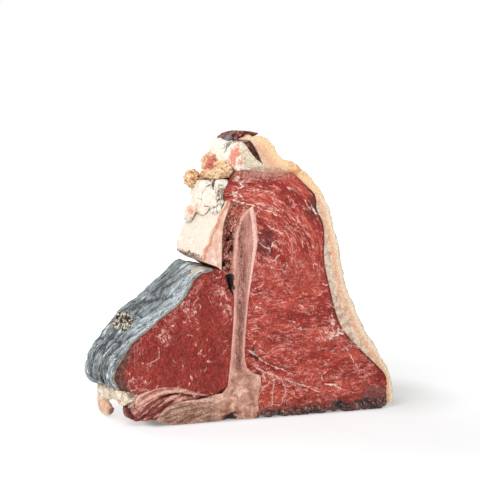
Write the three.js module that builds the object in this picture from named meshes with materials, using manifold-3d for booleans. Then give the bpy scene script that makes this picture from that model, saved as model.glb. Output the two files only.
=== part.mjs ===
// A thick dry-aged T-bone steak, standing on its sawn backbone, in millimetres with +Z up.
// X runs along the cut face from left to right, Y through the thickness, and the face that shows looks
// along -Y. The ground is at z = 0 and the origin lies under the middle of the whole steak.
// Every tissue is one solid that runs through the steak. On the cut face its outline is closed by
// runs: a seam where two tissues meet, so that neighbours share one curve, and a side where it is free.
// While it is drawn, x is counted from the tip of the bone.

import * as THREE from "three";
import { mergeVertices } from "three/addons/utils/BufferGeometryUtils.js";
import Module from "manifold-3d";

const wasm = await Module();
wasm.setup();

// Driving dimensions
const thickness = 50; // four fingers, from cut face to cut face
const seamGap = 0.3; // left open between two tissues
const seamFacet = 5.5; // length of a straight piece along a seam
const sideFacet = 4; // length of a straight piece along a free side
const sideRings = [0, 0.035, 0.12, 0.27, 0.44, 0.6, 0.77, 0.9, 0.965, 1]; // places of its rings in the depth
const lumpRows = 10; // rows of facets on a lump of fat
const lumpFacets = 16; // facets round it
const straightest = 0.25; // sine of the turn below which a corner of an outline counts as smooth
const longestMitre = 3; // how much further than its two edges a corner may move
const mergeWithin = 1e-3; // points of a ball or box closer than this are one

// Soft forms
const { smoothstep, lerp, clamp } = THREE.MathUtils;
const hump = (value, middle, width) => Math.exp(-(((value - middle) / width) ** 2));
// An uneven wave between -1 and 1 over two angles.
const unevenness = (a, b, seed) =>
  0.5 * Math.sin(a + 2.1 * seed) * Math.cos(b - 1.7 * seed) +
  0.3 * Math.sin(2.3 * a - 1.9 * b + seed) +
  0.2 * Math.cos(3.7 * a + 3.1 * b - 2.3 * seed);
// How far a side draws in near the two cut faces, when its edges are rounded.
const roundedEdge = (depth, radius) => {
  const inside = Math.min(depth, thickness - depth);
  return inside >= radius ? 0 : Math.sqrt(radius ** 2 - (radius - inside) ** 2) - radius;
};

// A run has points, their places along it, and how far the solid stands outside it at each of them.
function run(points, stand, isSide = false) {
  const places = [0];
  for (let i = 1; i < points.length; i++) places.push(places[i - 1] + points[i].distanceTo(points[i - 1]));
  return { points, places, stand, isSide };
}
const vectors = (corners) => corners.map(([x, z]) => new THREE.Vector2(x, z));
function curved(corners, facet) {
  const curve = new THREE.SplineCurve(vectors(corners));
  return curve.getSpacedPoints(Math.max(1, Math.round(curve.getLength() / facet)));
}
const seam = (...corners) => run(curved(corners, seamFacet), () => -seamGap / 2);
const sawn = (...corners) => run(vectors(corners), () => 0);
function side(relief, ...corners) {
  const points = curved(corners, sideFacet);
  const length = run(points).places.at(-1);
  return run(points, (along, depth, point) => relief({ along, share: along / length, depth, point }), true);
}
const back = (forth) => ({ ...forth, points: forth.points.toReversed(), places: forth.places.toReversed() });

// Points where three runs meet
const boneTip = [0.3, 147.5];
const boneShoulder = [-5.5, 47.8];
const boneCorner = [6.4, 29.6];
const boneHeel = [3.4, 0];
const boneFoot = [-17.9, 24.2];
const archTip = [-69.4, 3.5];
const crevice = [-27.5, 18.7];
const gapLow = [-13.1, 84.2];
const gapHigh = [-14.3, 101.5];
const filletPeak = [-19.4, 100.6];
const filletShoulder = [-22.1, 104.2];
const rindTop = [-28.6, 105.5];
const rindFoot = [-95.7, 26.5];
const lipTop = [-81, 22.6];
const lipFoot = [-91.5, 15.2];
const bandStart = [-43.1, 22.6];
const bandTip = [-79.8, 10.2];
const suetCorner = [-37.1, 112.6];
const tailMiddle = [-15.6, 150.9];
const tailEnd = [-19.9, 152.1];
const loinCorner = [-10.5, 171.6];
const capStart = [29.7, 169.9];
const capHeel = [101.7, 4.1];
const capToe = [106.5, 3.2];
const chainFoot = [56, 0.4];
const slitLeftMouth = [-6.2, 191];
const slitRightMouth = [-1.4, 192.2];
const slitEnd = [7.6, 176.1];

// The dried rind bulges towards the rear, wrinkles and carries one wart
const rindBulges = [4.8, 6.2, 7.4, 8.9, 6.4, 2.8]; // at even places from its foot to its top
const rindBulge = new THREE.SplineCurve(rindBulges.map((height) => new THREE.Vector2(0, height)));
const wart = { along: 49, depth: 38, height: 4.6, width: 7.5 };
const rindRelief = ({ along, share, depth }) =>
  roundedEdge(depth, 1.2) +
  rindBulge.getPoint(share).y * smoothstep(depth, -4, 44) +
  1.1 * smoothstep(depth, 1, 10) * unevenness(along / 7, depth / 9 + along / 16, 1) +
  wart.height * hump(along, wart.along, wart.width) * hump(depth, wart.depth, wart.width);

// The outer fat has a round, knobbly edge, thinner at both ends
const capRelief = ({ along, share, depth }) => {
  const radius = 2.6 + 3.6 * hump(share, 0.58, 0.24);
  return 0.28 * radius + roundedEdge(depth, radius) + 0.7 * unevenness(along / 6, depth / 5, 2);
};
const crownRelief = ({ along, depth }) =>
  roundedEdge(depth, 3) + 2 * smoothstep(depth, 10, 45) + 0.6 * unevenness(along / 4, depth / 6, 3);

// The dark crust under the loin is a row of beads with clefts between them
const crustBead = 0.9; // height of its small beads
const clefts = [
  { x: 81, depth: 2.2, width: 2.4 },
  { x: 62.5, depth: 5, width: 2.6 },
  { x: 46, depth: 2.4, width: 2 },
  { x: 31, depth: 2, width: 2.6 },
  { x: 12, depth: 1.4, width: 2 },
];
const crustRelief = ({ depth, point }) => {
  const drift = 2.2 * Math.sin(depth / 8) + 1.2 * Math.sin(depth / 3.7);
  const opening = 0.6 + 0.4 * Math.sin(depth / 6.5 + 1.9);
  const cuts = clefts.map((cleft) => cleft.depth * hump(point.x, cleft.x + drift, cleft.width));
  const cut = opening * cuts.reduce((sum, one) => sum + one);
  return 0.6 + roundedEdge(depth, 3) - cut + crustBead * unevenness(point.x / 4.5, depth / 5, 5);
};
const suetRelief = ({ along, share, depth }) =>
  roundedEdge(depth, 2) + lerp(2.6, 4.6, share) * smoothstep(depth, 4, 34) +
  1.1 * unevenness(along / 5, depth / 6, 7);
const lipRelief = ({ along, depth }) => roundedEdge(depth, 2) + 1.2 * unevenness(along / 3, depth / 7, 4);
const foldRelief = ({ along, depth }) => roundedEdge(depth, 2) + 0.9 * unevenness(along / 4, depth / 5, 8);

// Runs round the bone
const boneRightHigh = seam(
  boneTip, [2.9, 138], [3.9, 122], [1.1, 107], [-2.2, 86.5], [-4.6, 62.3], boneShoulder,
);
const boneRightLow = seam(boneShoulder, [-4.9, 39], [-1.5, 33.4], boneCorner);
const boneBase = seam(boneCorner, [6.4, 22.6], [4.2, 15], [4.9, 7.2], boneHeel);
const boneBottom = sawn(boneHeel, [-58, 0], archTip);
const archTop = seam(archTip, [-65.2, 9], [-58.1, 13.4], [-48.1, 15.8], [-36, 16.1], crevice);
const archHeel = seam(crevice, [-21.8, 19], boneFoot);
const boneLeftLow = seam(boneFoot, [-15.9, 42], [-14.2, 63], gapLow);
const boneLeftGap = seam(gapLow, [-14.1, 94], gapHigh);
const boneLeftHigh = seam(gapHigh, [-12.9, 117], [-11.9, 127.4], [-9.8, 136.2], [-5.5, 143], boneTip);

// Runs round the tenderloin
const rind = side(
  rindRelief, rindFoot, [-99.2, 34], [-98, 42.5], [-92, 51], [-83, 60.6], [-72, 70], [-59, 79],
  [-48.5, 90.5], [-41, 100.6], [-35, 104.7], rindTop,
);
const filletTop = seam(rindTop, filletShoulder);
const filletJoin = seam(filletShoulder, filletPeak);
const filletGap = seam(filletPeak, [-17.8, 95], [-15.6, 89.5], gapLow);
const filletHeel = seam(boneFoot, [-22.5, 21.4], crevice);
const filletFloor = seam(crevice, [-36, 20], bandStart);
const filletBand = seam(bandStart, [-52.4, 25.4], [-64.4, 26.4], [-74, 24.6], lipTop);
const filletLip = seam(lipTop, [-88, 25.2], rindFoot);

// Runs round the folds under the tenderloin
const lipUnder = seam(lipTop, [-85.5, 17.6], lipFoot);
const lipSide = side(lipRelief, lipFoot, [-96.5, 19.8], rindFoot);
const bandUnder = seam(bandStart, [-53, 22], [-64, 20.4], [-74.5, 15.6], bandTip);
const bandEnd = seam(bandTip, [-84, 14.2], [-83.2, 19], lipTop);
const foldFoot = side(foldRelief, archTip, [-75.5, 3.8], [-82, 4.6], [-88.4, 6.8], [-91.5, 11.5], lipFoot);

// Runs round the loin
const loinTop = seam(loinCorner, [-4.8, 172.3], [2.5, 171], [15, 169.7], capStart);
const loinBack = seam(
  capStart, [41.6, 159], [46.6, 153], [47.7, 143.6], [51.6, 136.5], [53.3, 127], [53.6, 108], [58.3, 87.2],
  [64, 67], [70.5, 55.8], [83, 42.5], [97, 29.2], [102.4, 21], capHeel,
);
const loinFoot = side(crustRelief, capHeel, [98, 0.9], [92, 0.4], [74, 0.4], chainFoot);
const chain = seam(boneShoulder, [-0.3, 43.3], [16, 34], [20, 27.8], [40, 18.6], [51.5, 13], chainFoot);
const chainSide = side(crustRelief, chainFoot, [30, 0.3], boneHeel);
const tailRight = seam(boneTip, [-7.7, 149.2], tailMiddle);
const tailLeft = seam(tailMiddle, tailEnd);
const loinLeft = seam(tailEnd, [-20.3, 157.5], [-17.7, 162.2], loinCorner);

// Runs round the outer fat
const crownSide = side(
  crownRelief, loinCorner, [-14, 175.7], [-13, 182.5], [-12, 187.8], [-9.2, 191], slitLeftMouth,
);
const slitLeft = seam(slitLeftMouth, [-3.3, 187.1], [1.6, 180.9], slitEnd);
const slitRight = seam(slitEnd, [4.6, 183.4], [1.4, 188.8], slitRightMouth);
const slitMouth = sawn(slitLeftMouth, slitRightMouth);
const capSide = side(
  capRelief, slitRightMouth, [3.4, 194.2], [8, 193.4], [13.4, 190.4], [17.2, 184.4], [22.5, 178],
  [30, 175.6], [38, 170], [46, 163.2], [52, 152.4], [58, 138.4], [63, 122], [67, 103], [71.5, 86.5],
  [79, 67.5], [89.5, 49], [99, 34.6], [104.6, 26], [106.4, 14], capToe,
);
const capFoot = seam(capToe, capHeel);

// Runs round the kidney fat and the meat beside the bone
const meatSeam = seam(
  tailMiddle, [-17.8, 143.9], [-20.3, 137.2], [-21.6, 128.4], [-22, 116], [-22.1, 108], filletShoulder,
);
const seamFloor = seam(gapHigh, [-17, 98.8], filletPeak);
const suetUnder = seam(filletShoulder, [-26, 107], [-32, 109.2], suetCorner);
const suetSide = side(suetRelief, suetCorner, [-34.6, 121.8], [-29.6, 132], [-24.2, 142.7], tailEnd);

// Outlines, clockwise as the front is seen
const outlines = {
  bone: [
    boneRightHigh, boneRightLow, boneBase, boneBottom, archTop, archHeel, boneLeftLow, boneLeftGap,
    boneLeftHigh,
  ],
  fillet: [
    rind, filletTop, filletJoin, filletGap, back(boneLeftLow), filletHeel, filletFloor, filletBand,
    filletLip,
  ],
  loin: [loinTop, loinBack, loinFoot, back(chain), back(boneRightHigh), tailRight, tailLeft, loinLeft],
  chain: [chain, chainSide, back(boneBase), back(boneRightLow)],
  cap: [crownSide, slitLeft, slitRight, capSide, capFoot, back(loinBack), back(loinTop)],
  slit: [slitMouth, back(slitRight), back(slitLeft)],
  seamMeat: [back(tailRight), back(boneLeftHigh), seamFloor, back(filletJoin), back(meatSeam)],
  suet: [back(tailLeft), meatSeam, suetUnder, suetSide],
  lip: [back(filletLip), lipUnder, lipSide],
  band: [back(filletBand), bandUnder, bandEnd],
  fold: [back(lipUnder), back(bandEnd), back(bandUnder), back(filletFloor), back(archTop), foldFoot],
};

// How far each cut surface lies behind the bone's, because soft tissue dries back unevenly
const recess = {
  bone: 0, fillet: 0.4, loin: 0.2, chain: 0.8, cap: 0.5, slit: 2.4, seamMeat: 2.8, suet: 0.7, lip: 0.8,
  band: 0.6, fold: 2,
};

function solid(positions, triangles) {
  const vertProperties = new Float32Array(positions);
  const triVerts = new Uint32Array(triangles);
  return new wasm.Manifold(new wasm.Mesh({ numProp: 3, vertProperties, triVerts }));
}

function solidOf(geometry) {
  geometry.deleteAttribute("normal");
  geometry.deleteAttribute("uv");
  const closed = mergeVertices(geometry, mergeWithin);
  return solid(closed.attributes.position.array, closed.index.array);
}

// A corner of an outline, moved out by one distance from the edge before it and another from the next.
function movedCorner(before, corner, after, outBefore, outAfter) {
  const edges = [corner.clone().sub(before).normalize(), after.clone().sub(corner).normalize()];
  const [one, two] = edges.map((edge) => new THREE.Vector2(-edge.y, edge.x));
  const turn = one.cross(two);
  if (Math.abs(turn) < straightest) {
    return corner.clone().addScaledVector(one.add(two).normalize(), (outBefore + outAfter) / 2);
  }
  const step = new THREE.Vector2(outBefore * two.y - outAfter * one.y, outAfter * one.x - outBefore * two.x);
  const longest = longestMitre + Math.abs(outBefore) + Math.abs(outAfter);
  return corner.clone().add(step.divideScalar(turn).clampLength(0, longest));
}

// The corners of an outline, each with its places on the run that ends there and on the one that leaves.
function cornersOf(runs) {
  return runs.flatMap((leaving, index) =>
    leaving.points.slice(0, -1).map((point, i) => {
      const arriving = i ? leaving : runs.at(index - 1);
      const arrivingAt = i ? leaving.places[i] : arriving.places.at(-1);
      return { point, leaving, leavingAt: leaving.places[i], arriving, arrivingAt };
    }),
  );
}

// The outline at one depth behind the front plane, grown by a distance where it serves as a cutter.
function outlineAt(corners, depth, grow) {
  return corners.map(({ point, leaving, leavingAt, arriving, arrivingAt }, i) => {
    const before = corners.at(i - 1).point;
    const after = corners[(i + 1) % corners.length].point;
    const outBefore = grow + arriving.stand(arrivingAt, depth, point);
    const outAfter = grow + leaving.stand(leavingAt, depth, point);
    const moved = movedCorner(before, point, after, outBefore, outAfter);
    return grow ? moved : new THREE.Vector2(moved.x, Math.max(moved.y, 0));
  });
}

// A slab between two depths, with flat cut faces. Its wall has rings where a side is free, and seams
// run straight through.
function slab(runs, front, rear, grow) {
  const corners = cornersOf(runs);
  const depths = sideRings.map((share) => lerp(front, rear, share));
  const rings = depths.map((depth) => outlineAt(corners, clamp(depth, 0, thickness), grow));
  const allRings = depths.map((_, ring) => ring);
  const positions = [];
  const columns = corners.map(({ leaving, arriving }, i) => {
    const levels = leaving.isSide || arriving.isSide ? allRings : [0, depths.length - 1];
    return levels.map((ring) => {
      positions.push(rings[ring][i].x, depths[ring] - thickness / 2, rings[ring][i].y);
      return { ring, index: positions.length / 3 - 1 };
    });
  });
  const triangles = columns.flatMap((left, i) => stitched(left, columns[(i + 1) % columns.length]));
  for (const [ring, end, facesFront] of [[rings[0], 0, true], [rings.at(-1), -1, false]]) {
    for (const face of THREE.ShapeUtils.triangulateShape(ring, [])) {
      const anticlockwise = THREE.ShapeUtils.area(face.map((i) => ring[i])) > 0;
      const turned = anticlockwise === facesFront ? face : face.toReversed();
      triangles.push(...turned.map((i) => columns[i].at(end).index));
    }
  }
  return solid(positions, triangles);
}

// Triangles of the wall between two columns of points that may have different rings.
function stitched(left, right) {
  const triangles = [];
  let [l, r] = [0, 0];
  while (l < left.length - 1 || r < right.length - 1) {
    const leftNext = left[l + 1]?.ring ?? Infinity;
    const rightNext = right[r + 1]?.ring ?? Infinity;
    triangles.push(left[l].index, right[r].index);
    triangles.push(leftNext <= rightNext ? left[++l].index : right[++r].index);
  }
  return triangles;
}

const tissue = (name, grow = 0) =>
  slab(outlines[name], recess[name] - grow, thickness - recess[name] + grow, grow);

// A rounded, slightly dented block: a ball pushed towards its box.
function lump({ at, half, seed, squareness = 0.62, dents = 0.09, lean = 0 }) {
  const ball = new THREE.SphereGeometry(1, lumpFacets, lumpRows);
  const place = ball.attributes.position;
  const pushed = (value) => Math.sign(value) * Math.abs(value) ** squareness;
  for (let i = 0; i < place.count; i++) {
    const [x, y, z] = [place.getX(i), place.getY(i), place.getZ(i)];
    const size = 1 + dents * unevenness(3.1 * x + seed, 2.7 * y + 2 * z, seed);
    place.setXYZ(i, size * half[0] * pushed(x), size * half[1] * pushed(y), size * half[2] * pushed(z));
  }
  return solidOf(ball.rotateX(lean).translate(...at));
}

const joined = (solids) => solids.reduce((sum, one) => sum.add(one));
const cutBy = (whole, cutters) => cutters.reduce((left, cutter) => left.subtract(cutter), whole);
const largest = (whole) => whole.decompose().sort((a, b) => b.volume() - a.volume())[0];
const grown = (block, by) => ({ ...block, half: block.half.map((size) => size + by) });

// The backbone has one pit in its sawn base
const basePit = { at: [-16.5, -25, 0.5], half: [4.4, 9, 5.2], seed: 13, squareness: 0.9 };
const tBone = tissue("bone").subtract(lump(basePit));

// The folds under the tenderloin draw in towards the rear
const foldSlant = 0.36; // radians
const foldSlantX = -83.5; // where the slanting side crosses the middle of the thickness
const everything = 160; // a box of this size holds all that lies on one side of the slant
const slantCutter = solidOf(
  new THREE.BoxGeometry(everything, everything, everything)
    .translate(-everything / 2, 0, 0)
    .rotateZ(-foldSlant)
    .translate(foldSlantX, 0, 0),
);
const foldMeat = tissue("fold").subtract(slantCutter);

// A nub of dried fat hangs from the lip at the rear and reaches the ground
const nub = [
  { at: [-92.4, 17, 9], half: [5.7, 6, 8.6], seed: 5, squareness: 0.9, dents: 0.05 },
  { at: [-91.6, 12, 18.4], half: [5, 11.5, 5], seed: 11, squareness: 0.8 },
];
const foldClear = tissue("fold", seamGap);
const filletClear = tissue("fillet", seamGap);
const cheekFat = largest(cutBy(joined([tissue("lip"), ...nub.map(lump)]), [foldClear, filletClear]));

// Crumbling kidney fat on the left of the loin: white blocks below, a yellow fringe above
const whiteBlocks = [
  { at: [-21.4, -16.5, 147.4], half: [4.6, 7.6, 7.6], seed: 1, squareness: 0.5 },
  { at: [-24, 7.5, 151.5], half: [6.2, 16.5, 13], seed: 2, squareness: 0.45, dents: 0.06 },
  { at: [-19.6, -14.5, 159.5], half: [5.4, 9.6, 6.6], seed: 3, squareness: 0.5 },
  { at: [-29, 15, 140.8], half: [6.8, 9, 6.6], seed: 4, lean: -0.2 },
];
const fringeBlocks = [
  { at: [-29.4, 16, 166.4], half: [5.6, 7.5, 6.2], seed: 6, squareness: 0.85 },
  { at: [-17, 13, 175.5], half: [5.4, 9, 7.2], seed: 7, squareness: 0.8, lean: 0.3 },
  { at: [-18.5, 0, 168.4], half: [7, 22.5, 3.6], seed: 8, squareness: 0.8 },
  { at: [-15.4, -9, 173], half: [4.6, 13, 4.4], seed: 9, squareness: 0.8, lean: 0.12 },
];
const suetNeighbours = ["loin", "cap", "suet"].map((name) => tissue(name, seamGap));
const whiteFat = largest(cutBy(joined(whiteBlocks.map(lump)), suetNeighbours));
const whiteClear = whiteBlocks.map((block) => lump(grown(block, seamGap)));
const fringeFat = largest(cutBy(joined(fringeBlocks.map(lump)), [...suetNeighbours, ...whiteClear]));

// The dark flank meat in the slit curls back over the crown of the fat, a little closer to it than a seam,
// so that its walls and the slit's don't coincide
const flapClearance = 0.7 * seamGap;
const flapRelief = ({ along, depth }) => 0.5 * unevenness(along / 4, depth / 4, 6);
const flapTop = side(flapRelief, [-10.4, 186.4], [-9.2, 192.6], [-4.4, 196.6], [4.5, 198], [14.4, 196.6]);
const flapUnder = sawn([14.4, 196.6], [8, 193.2], [-1, 190.6], [-7.4, 188.4], [-10.4, 186.4]);
const flap = slab([flapTop, flapUnder], thickness / 2, thickness, 0);
const flankMeat = largest(flap.subtract(tissue("cap", flapClearance)).add(tissue("slit")));

const finishes = {
  bone: { color: 0xc98f78, roughness: 0.6 },
  redMeat: { color: 0x8f2f26, roughness: 0.42 },
  darkMeat: { color: 0x551c18, roughness: 0.5 },
  paleFat: { color: 0xe8d9c2, roughness: 0.55 },
  goldenFat: { color: 0xe0bd8b, roughness: 0.5 },
  pinkFat: { color: 0xd99a86, roughness: 0.5 },
};

const pieces = {
  t_bone: [tBone, finishes.bone],
  tenderloin: [tissue("fillet"), finishes.redMeat],
  strip_loin: [tissue("loin"), finishes.redMeat],
  chain_muscle: [tissue("chain"), finishes.redMeat],
  seam_meat: [tissue("seamMeat"), finishes.darkMeat],
  fat_cap: [tissue("cap"), finishes.goldenFat],
  flank_meat: [flankMeat, finishes.darkMeat],
  kidney_fat_lower: [tissue("suet"), finishes.pinkFat],
  kidney_fat_middle: [whiteFat, finishes.paleFat],
  kidney_fat_upper: [fringeFat, finishes.goldenFat],
  cheek_fat: [cheekFat, finishes.paleFat],
  fold_fat: [tissue("band"), finishes.pinkFat],
  fold_meat: [foldMeat, finishes.darkMeat],
};

function meshOf(name, [whole, finish]) {
  const { vertProperties, triVerts } = whole.getMesh();
  const geometry = new THREE.BufferGeometry();
  geometry.setAttribute("position", new THREE.BufferAttribute(vertProperties, 3));
  geometry.setIndex(new THREE.BufferAttribute(triVerts, 1));
  geometry.computeVertexNormals();
  const mesh = new THREE.Mesh(geometry, new THREE.MeshStandardMaterial({ ...finish, metalness: 0 }));
  mesh.name = name;
  return mesh;
}

const steak = new THREE.Group();
for (const [name, piece] of Object.entries(pieces)) steak.add(meshOf(name, piece));
const extent = new THREE.Box3().setFromObject(steak);
steak.position.x = -(extent.min.x + extent.max.x) / 2; // from the bone's tip to the middle of the steak

export default steak;
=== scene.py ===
import math

import bpy
import numpy as np
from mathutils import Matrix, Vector, geometry


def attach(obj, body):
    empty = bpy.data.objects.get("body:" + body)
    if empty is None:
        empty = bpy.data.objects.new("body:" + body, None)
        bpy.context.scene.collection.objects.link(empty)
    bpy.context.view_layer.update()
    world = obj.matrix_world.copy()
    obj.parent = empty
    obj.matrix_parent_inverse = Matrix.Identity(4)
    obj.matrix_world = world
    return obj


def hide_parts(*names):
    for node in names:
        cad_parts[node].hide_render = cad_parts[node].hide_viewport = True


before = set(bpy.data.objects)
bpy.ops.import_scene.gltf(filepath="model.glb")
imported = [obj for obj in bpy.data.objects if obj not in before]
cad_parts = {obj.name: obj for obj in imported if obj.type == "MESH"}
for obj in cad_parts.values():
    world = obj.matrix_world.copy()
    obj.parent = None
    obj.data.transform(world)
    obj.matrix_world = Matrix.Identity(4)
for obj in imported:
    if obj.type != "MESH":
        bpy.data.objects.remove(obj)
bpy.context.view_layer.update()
mm = 0.001
cutFace = -25.0  # the y of the face that shows
farAway = 99.0  # stands for a distance to something that isn't there
print("steak: frame loaded")


# Uneven forms: smooth random waves over points in space

def randomWave(points, seed):
    # random values at whole numbers, blended smoothly between them, from -1 to 1
    table = np.random.default_rng(seed).random(4096) * 2 - 1
    cell = np.floor(points).astype(np.int64)
    part = points - cell
    part = part * part * (3 - 2 * part)
    total = np.zeros(len(points))
    for corner in range(8):
        step = np.array([corner & 1, corner >> 1 & 1, corner >> 2])
        place = cell + step
        value = table[(place[:, 0] * 73 + place[:, 1] * 1193 + place[:, 2] * 2971) % 4096]
        weight = np.where(step, part, 1 - part).prod(1)
        total += weight * value
    return total


def layeredWave(points, size, seed, layers=3, rough=0.5):
    # waves of one size plus ever smaller and weaker ones
    total = np.zeros(len(points))
    strength = 1.0
    for layer in range(layers):
        total += strength * randomWave(points / np.asarray(size) * 2 ** layer, seed + layer)
        strength *= rough
    return total / sum(rough ** layer for layer in range(layers))


def wander(points, size, seeds, layers=3):
    # one random wave for each axis
    return np.stack([layeredWave(points, size, seed, layers) for seed in seeds], axis=1)


def scattered(points, size, seed, block=2000):
    # distances to the nearest and the second nearest of centres that stand about one size apart
    low = points.min(0) - size
    cells = np.ceil((points.max(0) + size - low) / size).astype(int)
    centres = np.indices(cells).reshape(3, -1).T + np.random.default_rng(seed).uniform(0.1, 0.9, (cells.prod(), 3))
    centres = low + centres * size
    found = np.empty((len(points), 2))
    for first in range(0, len(points), block):
        gap = points[first:first + block, None] - centres[None]
        found[first:first + block] = np.sqrt(np.partition((gap ** 2).sum(2), 1, axis=1)[:, :2])
    return found[:, 0], found[:, 1]


def easeBetween(low, high, values):
    part = np.clip((values - low) / (high - low), 0, 1)
    return part * part * (3 - 2 * part)


def hump(values, middle, width):
    return np.exp(-((values - middle) / width) ** 2)


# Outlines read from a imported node

def arraysOf(mesh):
    # its corners in millimetres and its triangles
    mesh.calc_loop_triangles()
    corners = np.empty(len(mesh.vertices) * 3)
    triangles = np.empty(len(mesh.loop_triangles) * 3, dtype=np.int32)
    mesh.vertices.foreach_get("co", corners)
    mesh.loop_triangles.foreach_get("vertices", triangles)
    return corners.reshape(-1, 3) / mm, triangles.reshape(-1, 3)


def nodeShape(name):
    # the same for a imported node, with doubled corners merged
    corners, triangles = arraysOf(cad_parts[name].data)
    points, merged = np.unique(np.round(corners, 3), axis=0, return_inverse=True)
    return points, merged.reshape(-1)[triangles]


def sectionOf(shape, depth):
    # the longest closed ring where the plane y = depth cuts the triangles, anticlockwise in (x, z)
    points, triangles = shape
    behind = points[:, 1] > depth
    pairs = np.concatenate([triangles[:, [0, 1]], triangles[:, [1, 2]], triangles[:, [2, 0]]])
    owner = np.tile(np.arange(len(triangles)), 3)
    cut = behind[pairs[:, 0]] != behind[pairs[:, 1]]
    pairs = np.sort(pairs[cut], axis=1)
    edges, edgeOf = np.unique(pairs, axis=0, return_inverse=True)
    start, end = points[edges[:, 0]], points[edges[:, 1]]
    share = (depth - start[:, 1]) / (end[:, 1] - start[:, 1])
    places = (start + share[:, None] * (end - start))[:, [0, 2]]
    order = np.argsort(owner[cut], kind="stable")
    links = edgeOf.reshape(-1)[order].reshape(-1, 2)
    neighbours = {}
    for one, two in links:
        neighbours.setdefault(one, []).append(two)
        neighbours.setdefault(two, []).append(one)
    rings = []
    while neighbours:
        here = next(iter(neighbours))
        ring = []
        while here is not None:
            ring.append(here)
            nexts = neighbours.pop(here)
            here = next((other for other in nexts if other in neighbours), None)
        rings.append(places[ring])
    longest = max(rings, key=lambda ring: np.hypot(*(ring - np.roll(ring, 1, 0)).T).sum())
    apart = np.hypot(*(longest - np.roll(longest, 1, 0)).T) > 0.06
    longest = longest[apart]
    ahead = np.roll(longest, -1, 0)
    turning = (longest[:, 0] * ahead[:, 1] - ahead[:, 0] * longest[:, 1]).sum()
    return longest if turning > 0 else longest[::-1]


def naturalCubic(knots, values, samples):
    # a smooth curve through each column of values, which stand at the knots
    gaps = np.diff(knots)
    count = len(knots)
    inner = np.arange(1, count - 1)
    system = np.eye(count)
    system[inner, inner - 1] = gaps[:-1]
    system[inner, inner] = 2 * (gaps[:-1] + gaps[1:])
    system[inner, inner + 1] = gaps[1:]
    wanted = np.zeros_like(values)
    wanted[inner] = 6 * np.diff(np.diff(values, axis=0) / gaps[:, None], axis=0)
    bend = np.linalg.solve(system, wanted)
    column = np.arange(values.shape[1])
    span = np.clip(np.searchsorted(knots, samples, side="right") - 1, 0, count - 2)
    gap = gaps[span]
    left, right = knots[span + 1] - samples, samples - knots[span]
    low, high = values[span, column], values[span + 1, column]
    lowBend, highBend = bend[span, column], bend[span + 1, column]
    return (
        (lowBend * left ** 3 + highBend * right ** 3) / (6 * gap)
        + (low / gap - lowBend * gap / 6) * left + (high / gap - highBend * gap / 6) * right
    )


def curveThrough(points, spacing):
    # evenly spaced places on a smooth curve through the points, without the last one
    places = placesAlong(points)
    samples = np.linspace(0, places[-1], max(2, round(places[-1] / spacing) + 1))[:-1]
    return naturalCubic(places, points, samples[:, None].repeat(2, axis=1))


def placesAlong(line):
    return np.concatenate([[0], np.cumsum(np.hypot(*np.diff(line, axis=0).T))])


def smoothOutline(ring, spacing, sharpest=math.radians(32)):
    # smooth curves between the ring's sharp corners, which stay; also says where those are
    before = ring - np.roll(ring, 1, 0)
    after = np.roll(ring, -1, 0) - ring
    turn = np.arctan2(before[:, 0] * after[:, 1] - before[:, 1] * after[:, 0], (before * after).sum(1))
    corners = np.flatnonzero(np.abs(turn) > sharpest)
    ring = np.roll(ring, -corners[0], 0)
    ends = np.append(corners - corners[0], len(ring))
    closed = np.concatenate([ring, ring[:1]])
    runs = [curveThrough(closed[a:b + 1], spacing) for a, b in zip(ends[:-1], ends[1:])]
    return np.concatenate(runs), np.cumsum([0] + [len(run) for run in runs[:-1]])


def outwardOf(outline):
    along = np.roll(outline, -1, 0) - np.roll(outline, 1, 0)
    along /= np.hypot(*along.T)[:, None]
    return np.stack([along[:, 1], -along[:, 0]], axis=1)


def reachTo(outline, outward, ring, furthest=13.0, inward=0.9):
    # how far each point of the outline is from the ring, straight outwards or a little inwards
    start = ring[None]
    edge = (np.roll(ring, -1, 0) - ring)[None]
    gap = start - outline[:, None]
    way = outward[:, None]
    slope = way[..., 0] * edge[..., 1] - way[..., 1] * edge[..., 0]
    slope = np.where(np.abs(slope) < 1e-9, 1e-9, slope)
    reach = (gap[..., 0] * edge[..., 1] - gap[..., 1] * edge[..., 0]) / slope
    share = (gap[..., 0] * way[..., 1] - gap[..., 1] * way[..., 0]) / slope
    hit = (share >= -1e-6) & (share <= 1 + 1e-6) & (reach > -inward) & (reach < furthest)
    reach = np.where(hit, reach, np.inf)
    nearest = np.abs(reach).argmin(1)
    return reach[np.arange(len(outline)), nearest]


def sideOf(a, b, c):
    # whether c lies left of the way from a to b
    return (b[:, 0] - a[:, 0]) * (c[:, 1] - a[:, 1]) - (b[:, 1] - a[:, 1]) * (c[:, 0] - a[:, 0]) > 0


def untangled(ring, widest=14, rounds=4):
    # small loops that an outline makes at its corners are drawn straight
    ring = ring.copy()
    for _ in range(rounds):
        ahead = np.roll(ring, -1, 0)
        for step in range(2, widest):
            start, end = np.roll(ring, -step, 0), np.roll(ahead, -step, 0)
            crossed = sideOf(ring, ahead, start) != sideOf(ring, ahead, end)
            crossed &= sideOf(start, end, ring) != sideOf(start, end, ahead)
            for first in np.flatnonzero(crossed):
                inner = (first + np.arange(1, step + 1)) % len(ring)
                share = np.linspace(0, 1, step + 2)[1:-1, None]
                last = ring[(first + step + 1) % len(ring)]
                ring[inner] = ring[first] + share * (last - ring[first])
    return ring


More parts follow.
